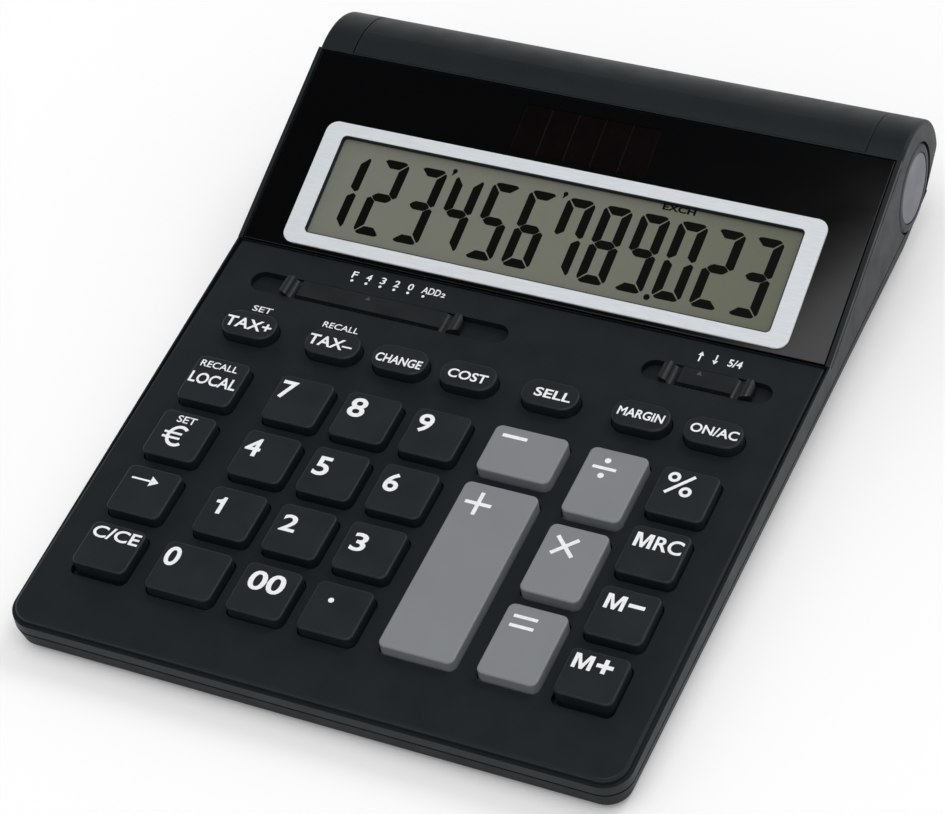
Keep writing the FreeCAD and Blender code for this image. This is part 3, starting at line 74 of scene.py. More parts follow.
class Tree:
    """Shader nodes of a material or of the world."""

    def __init__(self, owner):
        owner.use_nodes = True
        self.tree = owner.node_tree
        self.tree.nodes.clear()

    def add(self, kind, **settings):
        node = self.tree.nodes.new(kind)
        for key, value in settings.items():
            setattr(node, key, value)
        return node

    def link(self, source, target):
        self.tree.links.new(source, target)

    def ramp(self, source, stops):
        """Colour ramp with stops of place and colour."""
        node = self.add("ShaderNodeValToRGB")
        marks = node.color_ramp.elements
        while len(marks) < len(stops):
            marks.new(0.5)
        for mark, (place, colour) in zip(marks, stops):
            mark.position = place
            mark.color = (*colour, 1.0)
        self.link(source, node.inputs["Fac"])
        return node.outputs["Color"]

    def sums(self, operation, *sources):
        """One step of arithmetic on sockets and numbers."""
        node = self.add("ShaderNodeMath", operation=operation)
        for socket, source in zip(node.inputs, sources):
            if isinstance(source, (int, float)):
                socket.default_value = source
            else:
                self.link(source, socket)
        return node.outputs["Value"]

    def shown(self):
        """1 for what the camera, a reflection or glass shows, 0 for light that falls on things."""
        path = self.add("ShaderNodeLightPath")
        return self.sums("MAXIMUM", path.outputs["Is Camera Ray"],
                         self.sums("MAXIMUM", path.outputs["Is Glossy Ray"],
                                   path.outputs["Is Transmission Ray"]))


class Finish(Tree):
    """Principled material whose colour, roughness and relief vary over the surface."""

    def __init__(self, name, roughness, metallic=0.0, ior=1.5):
        self.material = bpy.data.materials.new(name)
        super().__init__(self.material)
        output = self.add("ShaderNodeOutputMaterial")
        self.shader = self.add("ShaderNodeBsdfPrincipled")
        self.shader.inputs["Roughness"].default_value = roughness
        self.shader.inputs["Metallic"].default_value = metallic
        self.shader.inputs["IOR"].default_value = ior
        self.link(self.shader.outputs["BSDF"], output.inputs["Surface"])
        self.place = self.add("ShaderNodeTexCoord").outputs["Object"]

    def noise(self, size, detail=2.0, stretch=(1, 1, 1)):
        """Noise whose features are about size millimetres across."""
        spread = self.add("ShaderNodeMapping")
        spread.inputs["Scale"].default_value = stretch
        self.link(self.place, spread.inputs["Vector"])
        node = self.add("ShaderNodeTexNoise")
        node.inputs["Scale"].default_value = 1000.0 / size
        node.inputs["Detail"].default_value = detail
        self.link(spread.outputs["Vector"], node.inputs["Vector"])
        return node.outputs["Fac"]

    def mottled(self, source, dark, light):
        """Colour that follows a noise from dark to light."""
        return self.ramp(source, [(NOISE_LOW, dark), (NOISE_HIGH, light)])

    def span(self, source, low, high, start=NOISE_LOW, end=NOISE_HIGH):
        """Maps a value between start and end to low and high."""
        node = self.add("ShaderNodeMapRange")
        for socket, value in zip(node.inputs[1:5], (start, end, low, high)):
            socket.default_value = value
        self.link(source, node.inputs["Value"])
        return node.outputs["Result"]

    def across(self):
        """Place along X, in metres."""
        parts = self.add("ShaderNodeSeparateXYZ")
        self.link(self.place, parts.inputs["Vector"])
        return parts.outputs["X"]

    def mix(self, share, first, second):
        """Blends two colours by share."""
        return self.blend("MIX", share, first, second)

    def blend(self, kind, share, first, second):
        """Blends sockets, numbers or colours in a way that Blender's Mix node names."""
        node = self.add("ShaderNodeMix", data_type="RGBA", blend_type=kind)
        for socket, source in ((node.inputs["Factor"], share),
                               (node.inputs[MIX_FIRST], first),
                               (node.inputs[MIX_SECOND], second)):
            if isinstance(source, float):
                socket.default_value = source
            elif isinstance(source, tuple):
                socket.default_value = (*source, 1.0)
            else:
                self.link(source, socket)
        return node.outputs[MIX_RESULT]

    def edges(self):
        """Mask that is 1 on edges, where handling rubs the surface."""
        bevel = self.add("ShaderNodeBevel", samples=3)
        bevel.inputs["Radius"].default_value = RUBBED_WIDTH * MM
        flat = self.add("ShaderNodeNewGeometry")
        dot = self.add("ShaderNodeVectorMath", operation="DOT_PRODUCT")
        self.link(bevel.outputs["Normal"], dot.inputs[0])
        self.link(flat.outputs["Normal"], dot.inputs[1])
        turned = self.sums("SUBTRACT", 1.0, dot.outputs["Value"])
        mask = self.add("ShaderNodeClamp")
        self.link(self.sums("MULTIPLY", turned, RUBBED_GAIN), mask.inputs["Value"])
        return mask.outputs["Result"]

    def relief(self, source, depth):
        """Bumps the surface by depth millimetres."""
        node = self.add("ShaderNodeBump")
        node.inputs["Distance"].default_value = depth * MM
        self.link(source, node.inputs["Height"])
        self.link(node.outputs["Normal"], self.shader.inputs["Normal"])

    def colour(self, source):
        self.link(source, self.shader.inputs["Base Color"])

    def dull(self, source):
        self.link(source, self.shader.inputs["Roughness"])


def times(colour, factor):
    return tuple(part * factor for part in colour)


def moulded(name, colour, roughness, grain=0.5, depth=0.02, wear=0.35, ior=1.5, cloud=0.1):
    """Injection moulded plastic with a fine eroded texture and rubbed edges."""
    made = Finish(name, roughness, ior=ior)
    tone = made.mottled(made.noise(14.0, 3.0), times(colour, 1 - cloud), times(colour, 1 + cloud))
    rubbed = made.sums("MULTIPLY", made.edges(), made.span(made.noise(3.0), 0.2, 1.0))
    made.colour(made.mix(made.sums("MULTIPLY", rubbed, wear), tone, times(colour, RUBBED_TONE)))
    matt = made.span(made.noise(6.0, 4.0), roughness - 0.05, roughness + 0.05)
    made.dull(made.sums("SUBTRACT", matt, made.sums("MULTIPLY", rubbed, 0.08)))
    made.relief(made.noise(grain), depth)
    return made.material


def brushed(name, colour, roughness, metallic, stretch=(0.06, 1, 1), grain=0.25):
    """Metal or metal-look surface with fine lines along X, or specks without a stretch."""
    made = Finish(name, roughness, metallic=metallic)
    lines = made.noise(grain, stretch=stretch)
    made.colour(made.mottled(lines, times(colour, 0.93), times(colour, 1.04)))
    made.dull(made.span(lines, roughness - 0.06, roughness + 0.08))
    made.relief(lines, 0.004)
    return made.material


def glossy_panel():
    """Black acrylic: smooth, with faint hairlines and dust in its gloss."""
    made = Finish("gloss_panel", 0.06, ior=1.49)
    made.colour(made.mottled(made.noise(25.0), (0.0003, 0.0004, 0.0004), (0.0006, 0.0007, 0.0007)))
    hairline = made.noise(0.8, 3.0, (0.05, 1.0, 1.0))
    smear = made.span(made.noise(9.0, 4.0), 0.06, 0.075)
    made.dull(made.sums("ADD", smear, made.span(hairline, 0.0, 0.006)))
    made.relief(made.noise(30.0, 1.0), 0.004)
    return made.material


def display_glass():
    """Grey-green polariser behind glass with a fine matt grain, and painted glare that makes it
    lighter to the left and darker to the right.
    """
    made = Finish("display", 0.32)
    half = 60 * MM
    share = made.span(made.across(), 0.0, 1.0, -half, half)
    # Painted glare: the colour runs from light at the left edge to dark at the right edge
    tone = made.ramp(share, [(0.0, (0.175, 0.183, 0.148)), (0.6, (0.155, 0.161, 0.124)),
                             (1.0, (0.118, 0.123, 0.083))])
    grain = made.mottled(made.noise(0.5, 1.0), (0.96, 0.96, 0.96), (1.0, 1.0, 1.0))
    made.colour(made.blend("MULTIPLY", 1.0, tone, grain))
    made.dull(made.span(made.noise(4.0, 3.0), 0.28, 0.36))
    made.relief(made.noise(0.3), 0.002)
    return made.material


def solar_cell():
    """Amorphous solar cell: dark red-brown strips parted by fine lines across its width."""
    made = Finish("solar", 0.09, ior=1.38)
    edge = 17.8 * MM
    pitch = 7.12 * MM
    line_share = 0.03
    strips = made.sums("DIVIDE", made.sums("ADD", made.across(), edge), pitch)
    line = made.sums("LESS_THAN", made.sums("FRACT", strips), line_share)
    cell = made.mottled(made.noise(5.0, 3.0), (0.0018, 0.0007, 0.0007), (0.0032, 0.0011, 0.0010))
    made.colour(made.mix(line, cell, (0.0058, 0.0026, 0.0024)))
    made.dull(made.span(made.noise(6.0), 0.075, 0.11))
    made.relief(line, 0.01)
    return made.material


def circuit():
    """Circuit board: green lacquer over copper tracks."""
    made = Finish("circuit_board", 0.35)
    tracks = made.add("ShaderNodeTexBrick", offset=0.5, squash=1.0)
    tracks.inputs["Scale"].default_value = 220.0
    tracks.inputs["Mortar Size"].default_value = 0.06
    tracks.inputs["Color1"].default_value = (0.010, 0.055, 0.022, 1.0)
    tracks.inputs["Color2"].default_value = (0.012, 0.065, 0.026, 1.0)
    tracks.inputs["Mortar"].default_value = (0.035, 0.14, 0.045, 1.0)
    made.link(made.place, tracks.inputs["Vector"])
    made.colour(tracks.outputs["Color"])
    made.dull(made.span(made.noise(3.0), 0.28, 0.42))
    made.relief(tracks.outputs["Fac"], 0.03)
    return made.material


def soft(name, colour, roughness):
    """Rubber or matt inner plastic with a mottled skin."""
    made = Finish(name, roughness)
    made.colour(made.mottled(made.noise(7.0, 4.0), times(colour, 0.85), times(colour, 1.12)))
    made.dull(made.span(made.noise(2.0), roughness - 0.06, roughness + 0.06))
    made.relief(made.noise(0.8), 0.03)
    return made.material


def cable_finish():
    """Flat ribbon with parallel wires."""
    made = Finish("cable", 0.4)
    wires = made.add("ShaderNodeTexWave", wave_type="BANDS", bands_direction="X")
    wires.inputs["Scale"].default_value = 160.0
    made.link(made.place, wires.inputs["Vector"])
    made.colour(made.ramp(wires.outputs["Fac"], [(0.2, (0.30, 0.30, 0.31)),
                                                 (0.8, (0.48, 0.48, 0.5))]))
    made.relief(wires.outputs["Fac"], 0.08)
    return made.material


FINISHES = {
    "housing": moulded("housing", (0.0060, 0.0096, 0.0118), 0.5, ior=1.36),
    "switch_plastic": moulded("switch_plastic", (0.0030, 0.0058, 0.0078), 0.46, grain=0.4),
    "black_key": moulded("black_key", (0.0088, 0.0130, 0.0157), 0.45, grain=0.35,
                         depth=0.008, wear=0.0, ior=1.41),
    "grey_key": moulded("grey_key", (0.212, 0.222, 0.236), 0.45, grain=0.35,
                        depth=0.008, wear=0.1, cloud=0.025),
    "cap_ring": moulded("cap_ring", (0.0041, 0.0078, 0.0110), 0.5, ior=1.43),
    "cap_disc": moulded("cap_disc", (0.115, 0.122, 0.148), 0.42, grain=0.4, wear=0.2),
    "gloss_panel": glossy_panel(),
    "silver_frame": brushed("silver_frame", (0.70, 0.735, 0.77), 0.4, 0.1),
    "display": display_glass(),
    "solar": solar_cell(),
    "circuit_board": circuit(),
    "inner_plastic": soft("inner_plastic", (0.05, 0.052, 0.055), 0.55),
    "rubber_sheet": soft("rubber_sheet", (0.32, 0.33, 0.34), 0.6),
    "rubber_foot": soft("rubber_foot", (0.018, 0.018, 0.019), 0.75),
    "cable": cable_finish(),
    "cell_metal": brushed("cell_metal", (0.62, 0.62, 0.60), 0.28, 1.0),
    "contact_metal": brushed("contact_metal", (0.66, 0.60, 0.45), 0.3, 1.0),
    "screw_metal": brushed("screw_metal", (0.50, 0.50, 0.52), 0.32, 1.0, stretch=(1, 1, 1),
                           grain=0.4),
}
for item in nodes.values():
    for slot in item.material_slots:
        kind = slot.material.name.split(".")[0]
        slot.material = FINISHES[kind]
# The lower housing takes a darker copy of the housing's plastic that also mirrors the floor less:
# painted shade that keeps its front wall dark
nodes["lower_housing"].material_slots[0].material = moulded(
    "housing_painted_shade", (0.0040, 0.0068, 0.0088), 0.55, ior=1.24)


def ink(name, colour, roughness, ior=1.5):
    """Printing ink, also used for a strip of painted shade: slightly uneven cover and edge gloss.
    """
    made = Finish(name, roughness, ior=ior)
    made.colour(made.mottled(made.noise(1.2, 3.0), times(colour, 0.93), times(colour, 1.04)))
    made.dull(made.span(made.noise(0.6), roughness - 0.05, roughness + 0.05))
    made.relief(made.noise(0.4), 0.004)
    return made.material


WHITE_INK = ink("white_ink", (0.87, 0.885, 0.90), 0.5)
FAINT_INK = ink("faint_ink", (0.055, 0.06, 0.065), 0.5)
SEGMENT_INK = ink("segment_ink", (0.0026, 0.0030, 0.0018), 0.34, 1.15)
# Painted shade, not print: the dark strip that stands for the shadow in the slide switches' gaps
GAP_PAINTED_SHADE = ink("gap_painted_shade", (0.0012, 0.0015, 0.0016), 0.6, 1.15)


# Printed marks, drawn in millimetres on a face

# Lettering: drop of its bevelled rim, and half its thickness before it is flattened
RIM = 0.01
EXTRUDE = 1.0
# Sides of a ring, of the euro sign's bow and of a round corner
RING_SIDES = 28
BOW_SIDES = 30
CORNER_SIDES = 6


class Marks:
    """Marks on one face, gathered into one piece that rides on a body."""

    def __init__(self, name, face, body, finish, x=0.0, along=0.0, above=0.0):
        self.name = name
        self.face = face @ Matrix.Translation((x, along, above))
        self.body = body
        self.finish = finish
        self.mesh = bmesh.new()

    def shape(self, points, top=INK):
        """Filled outline."""
        low = [self.mesh.verts.new((x, y, -SUNK)) for x, y in points]
        high = [self.mesh.verts.new((x, y, top)) for x, y in points]
        self.mesh.faces.new(high)
        self.mesh.faces.new(low[::-1])
        for i, corner in enumerate(low):
            after = (i + 1) % len(low)
            self.mesh.faces.new((corner, low[after], high[after], high[i]))

    def bar(self, x0, y0, x1, y1, width, top=INK):
        """Straight stroke from one point to another with square ends."""
        along = Vector((x1 - x0, y1 - y0)).normalized() * width / 2
        across = Vector((-along.y, along.x))
        ends = [(x0, y0, 1), (x0, y0, -1), (x1, y1, -1), (x1, y1, 1)]
        self.shape([(x + across.x * side, y + across.y * side) for x, y, side in ends], top)

    def cross(self, x, y, reach_x, reach_y, width, turn=0.0):
        """Two strokes that cross, as one outline."""
        half = width / 2
        points = [(half, half), (half, reach_y), (-half, reach_y), (-half, half),
                  (-reach_x, half), (-reach_x, -half), (-half, -half), (-half, -reach_y),
                  (half, -reach_y), (half, -half), (reach_x, -half), (reach_x, half)]
        c, s = math.cos(turn), math.sin(turn)
        self.shape([(x + a * c - b * s, y + a * s + b * c) for a, b in points])

    def dot(self, x, y, radius, count=24):
        """Round dot with count sides."""
        self.shape([(x + radius * math.cos(2 * math.pi * i / count),
                     y + radius * math.sin(2 * math.pi * i / count)) for i in range(count)])

    def em(self, left, right, bottom, top, width):
        """Capital M as one outline, with upright stems and a pointed middle."""
        middle = (left + right) / 2
        knee = width * 1.35
        self.shape([(left, bottom), (left + width, bottom), (left + width, top - knee),
                    (middle - width * 0.42, bottom), (middle + width * 0.42, bottom),
                    (right - width, top - knee), (right - width, bottom), (right, bottom),
                    (right, top), (right - knee, top), (middle, bottom + knee * 1.15),
                    (left + knee, top), (left, top)])

    def euro(self, x, y, wide, tall, width):
        """Bow that is open on the right, with two bars across it and a hair above it."""
        turns = [math.radians(48 + 264 * i / BOW_SIDES) for i in range(BOW_SIDES + 1)]
        outer = [(x + wide / 2 * math.cos(t), y + tall / 2 * math.sin(t)) for t in turns]
        inner = [(x + (wide / 2 - width) * math.cos(t), y + (tall / 2 - width) * math.sin(t))
                 for t in turns]
        self.shape(outer + inner[::-1])
        over = INK + 0.006
        for level in (0.11 * tall, -0.11 * tall):
            self.bar(x - wide / 2 - 0.9, y + level, x + 0.16 * wide, y + level,
                     0.75 * width, over)

    def ring(self, x, y, radius, hole):
        """Round ring with a round hole."""
        turns = [2 * math.pi * i / RING_SIDES for i in range(RING_SIDES)]
        self.band([[(x + size * math.cos(turn), y + size * math.sin(turn), z) for turn in turns]
                    for size, z in ((hole, -SUNK), (radius, -SUNK), (radius, INK), (hole, INK))])

    def band(self, loops):
        """Closed band whose section goes from loop to loop and back to the first."""
        rows = [[self.mesh.verts.new(point) for point in loop] for loop in loops]
        for first, second in zip(rows, rows[1:] + rows[:1]):
            for i, corner in enumerate(first):
                after = (i + 1) % len(first)
                self.mesh.faces.new((corner, first[after], second[after], second[i]))

    def letters(self, text, left, right, bottom, top, weight=0.02):
        """Lettering that fills a rectangle; weight thickens its strokes and slopes their rim."""
        font = bpy.data.curves.new("letters", "FONT")
        font.body = text
        font.bevel_depth = weight
        font.bevel_resolution = 1
        font.extrude = EXTRUDE
        font.resolution_u = 4
        holder = bpy.data.objects.new("letters", font)
        outline = bpy.data.meshes.new_from_object(holder)
        piece = bmesh.new()
        piece.from_mesh(outline)
        bmesh.ops.remove_doubles(piece, verts=piece.verts[:], dist=0.0005)
        xs = [v.co.x for v in piece.verts]
        ys = [v.co.y for v in piece.verts]
        x0, y0 = min(xs), min(ys)
        wide = (right - left) / (max(xs) - x0)
        tall = (top - bottom) / (max(ys) - y0)
        for v in piece.verts:
            below = (EXTRUDE + weight - v.co.z) / weight
            level = INK - RIM * below if v.co.z > 0 else -SUNK
            v.co = (left + (v.co.x - x0) * wide, bottom + (v.co.y - y0) * tall, level)
        piece.to_mesh(outline)
        piece.free()
        self.mesh.from_mesh(outline)
        bpy.data.objects.remove(holder)
        bpy.data.curves.remove(font)
        bpy.data.meshes.remove(outline)

    def finished(self):
        """Puts the piece on its body."""
        data = bpy.data.meshes.new(self.name)
        bmesh.ops.recalc_face_normals(self.mesh, faces=self.mesh.faces[:])
        self.mesh.transform(self.face)
        self.mesh.to_mesh(data)
        self.mesh.free()
        data.materials.append(self.finish)
        item = bpy.data.objects.new(self.name, data)
        scene.collection.objects.link(item)
        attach(item, self.body)


def on_key(key, x, along):
    """Printing of a key, measured from a point of the plate."""
    return Marks(key + "_legend", PLATE, key, WHITE_INK, x, along, KEY_TOP)


# Middles of the keys on the plate: columns across it, rows up its slope
LEFT, SEVEN, EIGHT, NINE, ADD, OPERATOR, RIGHT = -59.35, -37.05, -19.35, -1.65, 20.2, 41.7, 59.35
ROWS = (23.1, 40.9, 58.7, 76.5)
# Row of the shallow keys at the rear, and of the two front keys whose fronts slope
PILLS = 95.55
SLOPED = 23.7

# Left, right, bottom and top of each digit from its key's middle
DIGITS = {
    "7": (-5.8, -1.9, -0.3, 5.2), "8": (-5.2, -0.9, -0.7, 5.15), "9": (-5.3, -1.55, -0.4, 5.2),
    "4": (-5.6, -1.7, -0.8, 4.6), "5": (-5.1, -1.3, -1.5, 4.15), "6": (-5.2, -1.5, -1.1, 4.4),
    "1": None, "2": (-5.0, -1.05, -0.9, 3.9), "3": (-4.8, -1.2, -1.4, 3.8),
}
# Outline of the digit 1
ONE = [(-3.35, -0.96), (-2.3, -0.96), (-2.3, 4.0), (-3.1, 4.0), (-3.35, 3.35), (-3.75, 3.05),
       (-4.5, 2.9), (-4.5, 2.1), (-3.35, 2.1)]
for digit, box in DIGITS.items():
    number = int(digit) - 1
    marks = on_key("key_" + digit, (SEVEN, EIGHT, NINE)[number % 3], ROWS[1 + number // 3])
    if box:
        marks.letters(digit, *box)
    else:
        marks.shape(ONE)
    marks.finished()

# Other keys: a point of the plate, then the strokes of the printing, each as a method of
# Marks and its measures from that point. The point is the key's middle, or for the signs of
# plus, minus, equals, times and divide the middle of the plate's front edge.
LEGENDS = {
    "key_clear": (LEFT, SLOPED, [("letters", "C/CE", -5.9, 6.1, 1.8, 5.2)]),
    "key_euro": (LEFT, ROWS[2], [("letters", "SET", -2.8, 2.1, 3.6, 5.7, 0.01),
                                 ("euro", -0.35, -0.45, 5.6, 6.4, 0.85)]),
    "key_local": (LEFT, ROWS[3], [("letters", "RECALL", -5.6, 4.2, 3.5, 5.5, 0.01),
                                  ("letters", "LOCAL", -6.3, 6.1, -1.75, 1.6)]),
    "key_0": (-38.45, ROWS[0], [("letters", "0", -7.3, -3.6, -0.1, 5.4)]),
    "key_00": (EIGHT, ROWS[0], [("letters", "00", -4.8, 4.1, -0.5, 4.95)]),
    "key_tax_plus": (LEFT, PILLS, [("letters", "TAX+", -6.3, 5.9, -1.7, 1.55)]),
    "key_tax_minus": (SEVEN, PILLS, [("letters", "TAX–", -6.3, 5.2, -1.5, 1.7)]),
    "key_change": (EIGHT, PILLS, [("letters", "CHANGE", -5.9, 5.9, -1.9, 0.7)]),
    "key_cost": (NINE, PILLS, [("letters", "COST", -4.9, 5.0, -1.7, 1.0)]),
    "key_sell": (ADD - 1.0, PILLS, [("letters", "SELL", -3.8, 5.3, -1.4, 1.3)]),
    "key_margin": (OPERATOR, PILLS, [("letters", "MARGIN", -5.6, 5.6, -1.2, 1.4)]),
    "key_on_clear": (RIGHT, PILLS, [("letters", "ON/AC", -5.5, 6.0, -1.2, 1.5)]),
    "key_memory_recall": (RIGHT, ROWS[2], [("letters", "RC", -0.65, 5.9, 0.85, 4.85),
                                           ("em", -5.35, -1.25, 0.85, 4.85, 0.85)]),
    "key_memory_minus": (RIGHT, ROWS[1], [("em", -5.0, -0.5, 0.7, 4.8, 0.9),
                                          ("bar", 0.3, 2.85, 4.1, 2.85, 1.0)]),
    "key_memory_plus": (RIGHT, SLOPED, [("em", -5.5, -1.05, 0.95, 4.9, 0.9),
                                        ("cross", 1.75, 3.0, 1.95, 1.9, 1.0)]),
    "key_point": (NINE, ROWS[0], [("dot", -2.0, 2.1, 0.68)]),
    "key_backspace": (LEFT, ROWS[1], [("bar", -4.8, 3.05, 0.2, 3.05, 0.5),
                                      ("shape", [(0.0, 1.55), (2.2, 3.05), (0.0, 4.55)])]),
    "key_percent": (RIGHT, ROWS[3], [("bar", -4.2, -0.7, 1.15, 5.3, 0.8),
                                     ("ring", -3.45, 4.05, 1.45, 0.65),
                                     ("ring", 0.4, 0.55, 1.45, 0.65)]),
    "key_plus": (0.0, 0.0, [("cross", 16.45, 60.3, 3.2, 3.3, 0.95)]),
    "key_minus": (0.0, 0.0, [("bar", 13.6, 80.9, 19.7, 80.9, 0.95)]),
    "key_equals": (0.0, 0.0, [("bar", 36.8, 33.7, 42.5, 33.7, 0.85),
                              ("bar", 36.8, 31.1, 42.5, 31.1, 0.85)]),
    "key_times": (0.0, 0.0, [("cross", 40.0, 54.7, 3.55, 3.6, 0.95, math.radians(46))]),
    "key_divide": (0.0, 0.0, [("bar", 36.9, 78.3, 42.6, 78.3, 0.85),
                              ("dot", 39.75, 80.6, 0.75),
                              ("dot", 39.75, 76.1, 0.75)]),
}
for key, (x, along, strokes) in LEGENDS.items():
    marks = on_key(key, x, along)
    for kind, *measures in strokes:
        getattr(marks, kind)(*measures)
    marks.finished()

# Printing on the plate: words behind two of the shallow keys
WORD_FOOT, WORD_HEAD = PILLS + 6.5, PILLS + 8.3
plate = Marks("plate_legends", PLATE, "case", WHITE_INK)
plate.letters("SET", LEFT - 3.3, LEFT + 1.9, WORD_FOOT, WORD_HEAD, 0.008)
plate.letters("RECALL", SEVEN - 6.5, SEVEN + 2.9, WORD_FOOT, WORD_HEAD, 0.008)
# Scale of the decimal switch: a dot for each place, and its letter or number behind it
DOTS = 118.0
DOT_RADIUS = 0.38
DOT_SIDES = 16
SCALE_FOOT, SCALE_HEAD = 118.95, 121.05
for text, x in (("F", -43.1), ("4", -39.3), ("3", -35.5), ("2", -31.8), ("0", -28.1)):
    plate.dot(x, DOTS, DOT_RADIUS, DOT_SIDES)
    plate.letters(text, x - 0.7, x + 0.7, SCALE_FOOT, SCALE_HEAD, 0.012)
plate.dot(-24.0, DOTS, DOT_RADIUS, DOT_SIDES)
plate.letters("ADD", -25.0, -20.2, SCALE_FOOT, SCALE_HEAD, 0.012)
plate.letters("2", -19.9, -18.8, SCALE_FOOT, 120.25)
# Scale of the rounding switch: arrows up and down, and half-adjust
plate.bar(47.1, 117.1, 47.1, 119.2, 0.35)
plate.shape([(46.4, 119.0), (47.8, 119.0), (47.1, 120.2)])
plate.bar(50.9, 118.1, 50.9, 120.1, 0.35)
plate.shape([(50.2, 118.3), (50.9, 117.1), (51.6, 118.3)])
plate.letters("5/4", 54.0, 57.4, 117.5, 119.8)
plate.finished()

# Slide switches: a dark strip of painted shade, standing for the shadow in the gap along each
# bar's front, and a pointer
SHADE_FRONT = 108.87
SHADE_WIDTH = 0.75
POINTERS = 113.4
for name, body, left, right in (("decimal_gap_shade", "switch_decimal", -54.4, -15.8),
                                ("rounding_gap_shade", "switch_rounding", 44.4, 58.0)):
    shade_strip = Marks(name, PLATE, body, GAP_PAINTED_SHADE, 0.0, SHADE_FRONT, BAR_TOP)
    shade_strip.shape([(left, 0.0), (right, 0.0), (right, SHADE_WIDTH), (left, SHADE_WIDTH)])
    shade_strip.finished()
for name, body, x in (("decimal_pointer", "switch_decimal", -36.5),
                      ("rounding_pointer", "switch_rounding", 48.9)):
    pointer = Marks(name, PLATE, body, FAINT_INK, x, POINTERS, BAR_TOP)
    pointer.shape([(-0.7, -0.5), (0.7, -0.5), (0.0, 0.7)])
    pointer.finished()


# Display: black lip round its window, with the window's size and middle up the screen's
# slope, the lip's width, and the levels of its foot and of its inner and outer edge
WINDOW_WIDE, WINDOW_DEEP, WINDOW_CORNER = 121.36, 27.72, 1.2
WINDOW_MIDDLE = 18.73
LIP = 0.22
LIP_FOOT, LIP_INSIDE, LIP_OUTSIDE = -0.93, 0.3, 0.42


def rounded(wide, deep, corner, z):
    """Points of a level rectangle with round corners about the origin."""
    points = []
    for quarter, (x, y) in enumerate(((1, 1), (-1, 1), (-1, -1), (1, -1))):
        for i in range(CORNER_SIDES + 1):
            turn = math.pi / 2 * (quarter + i / CORNER_SIDES)
            points.append((x * (wide / 2 - corner) + corner * math.cos(turn),
                           y * (deep / 2 - corner) + corner * math.sin(turn), z))
    return points


outer = (WINDOW_WIDE, WINDOW_DEEP, WINDOW_CORNER)
inner = (WINDOW_WIDE - 2 * LIP, WINDOW_DEEP - 2 * LIP, WINDOW_CORNER - LIP)
lip = Marks("window_lip", SCREEN, "case", FINISHES["housing"], 0.0, WINDOW_MIDDLE)
lip.band([rounded(*outer, LIP_FOOT), rounded(*inner, LIP_FOOT), rounded(*inner, LIP_INSIDE),
           rounded(*outer, LIP_OUTSIDE)])
lip.finished()

# One digit: its width, height and stroke, and how far its top leans to the right
WIDE, TALL, THICK, LEAN = 7.25, 21.2, 2.3, 0.7
MIDDLE = TALL / 2
HALF_BAR = THICK / 2


def mirrored(points, flip_x, flip_y):
    """Segment on the other side of the digit, or in its other half."""
    return [((WIDE - x) if flip_x else x, (TALL - y) if flip_y else y) for x, y in points]


# Segments of an upright digit, with fine gaps between them
UPRIGHT = [(-0.1, MIDDLE + 0.75), (-0.1, TALL - 1.5), (0.15, TALL - 0.95), (0.45, TALL - 0.8),
           (THICK - 0.1, TALL - THICK - 0.45), (THICK - 0.1, MIDDLE + 1.3),
           (1.25, MIDDLE + 0.55), (0.7, MIDDLE + 0.2)]
TOP_BAR = [(0.6, TALL - 0.6), (1.0, TALL - 0.15), (1.7, TALL), (WIDE - 1.7, TALL),
           (WIDE - 1.0, TALL - 0.15), (WIDE - 0.6, TALL - 0.6),
           (WIDE - THICK, TALL - THICK + 0.05), (WIDE - THICK - 0.5, TALL - THICK),
           (THICK + 0.5, TALL - THICK), (THICK, TALL - THICK + 0.05)]
CROSS_BAR = [(0.95, MIDDLE), (1.6, MIDDLE + 0.75), (2.3, MIDDLE + HALF_BAR),
             (WIDE - 2.3, MIDDLE + HALF_BAR), (WIDE - 1.6, MIDDLE + 0.75),
             (WIDE - 0.95, MIDDLE), (WIDE - 1.6, MIDDLE - 0.75),
             (WIDE - 2.3, MIDDLE - HALF_BAR), (2.3, MIDDLE - HALF_BAR), (1.6, MIDDLE - 0.75)]
SEGMENTS = {
    "a": TOP_BAR, "b": mirrored(UPRIGHT, True, False), "c": mirrored(UPRIGHT, True, True),
    "d": mirrored(TOP_BAR, False, True), "e": mirrored(UPRIGHT, False, True), "f": UPRIGHT,
    "g": CROSS_BAR,
}
LIT = {"0": "abcdef", "1": "bc", "2": "abged", "3": "abgcd", "4": "fgbc", "5": "afgcd",
       "6": "afgedc", "7": "fabc", "8": "abcdefg", "9": "abcdfg"}
NUMBER = "123456789023"
# Places in the number that a raised comma or the decimal point follows
COMMAS = (2, 5)
POINT = 8
# Right ends of the digits across the screen, as measured through the camera; the digits stand
# half way between these and even places, and a shift brings them onto the photograph's
SEEN = (-52.1, -41.0, -30.35, -20.3, -10.6, -0.9, 9.1, 18.6, 28.07, 37.5, 46.75, 56.1)
SHIFT = 0.55
# Foot and head of the digits up the screen's slope
BASE = 7.95
HEAD = BASE + TALL
screen = Marks("display_digits", SCREEN, "case", SEGMENT_INK, 0.0, 0.0, GLASS_TOP)
for place, (digit, seen) in enumerate(zip(NUMBER, SEEN)):
    even = SEEN[0] + (SEEN[-1] - SEEN[0]) * place / (len(NUMBER) - 1)
    start = (even + seen) / 2 + SHIFT - WIDE - LEAN
    for segment in LIT[digit]:
        screen.shape([(start + x + LEAN * y / TALL, BASE + y) for x, y in SEGMENTS[segment]])
    if place in COMMAS:
        x = start + WIDE + LEAN + 1.55
        screen.dot(x, HEAD + 0.55, 0.62, 18)
        screen.shape([(x - 0.35, HEAD + 0.3), (x - 0.55, HEAD - 0.95), (x + 0.5, HEAD + 0.2)])
    if place == POINT:
        screen.dot(start + WIDE + 1.65, BASE - 0.2, 0.8, 20)
screen.letters("EXCH", 24.7, 33.1, 30.9, 32.6, 0.035)
screen.finished()


# Studio: white floor, even light, dim ceiling

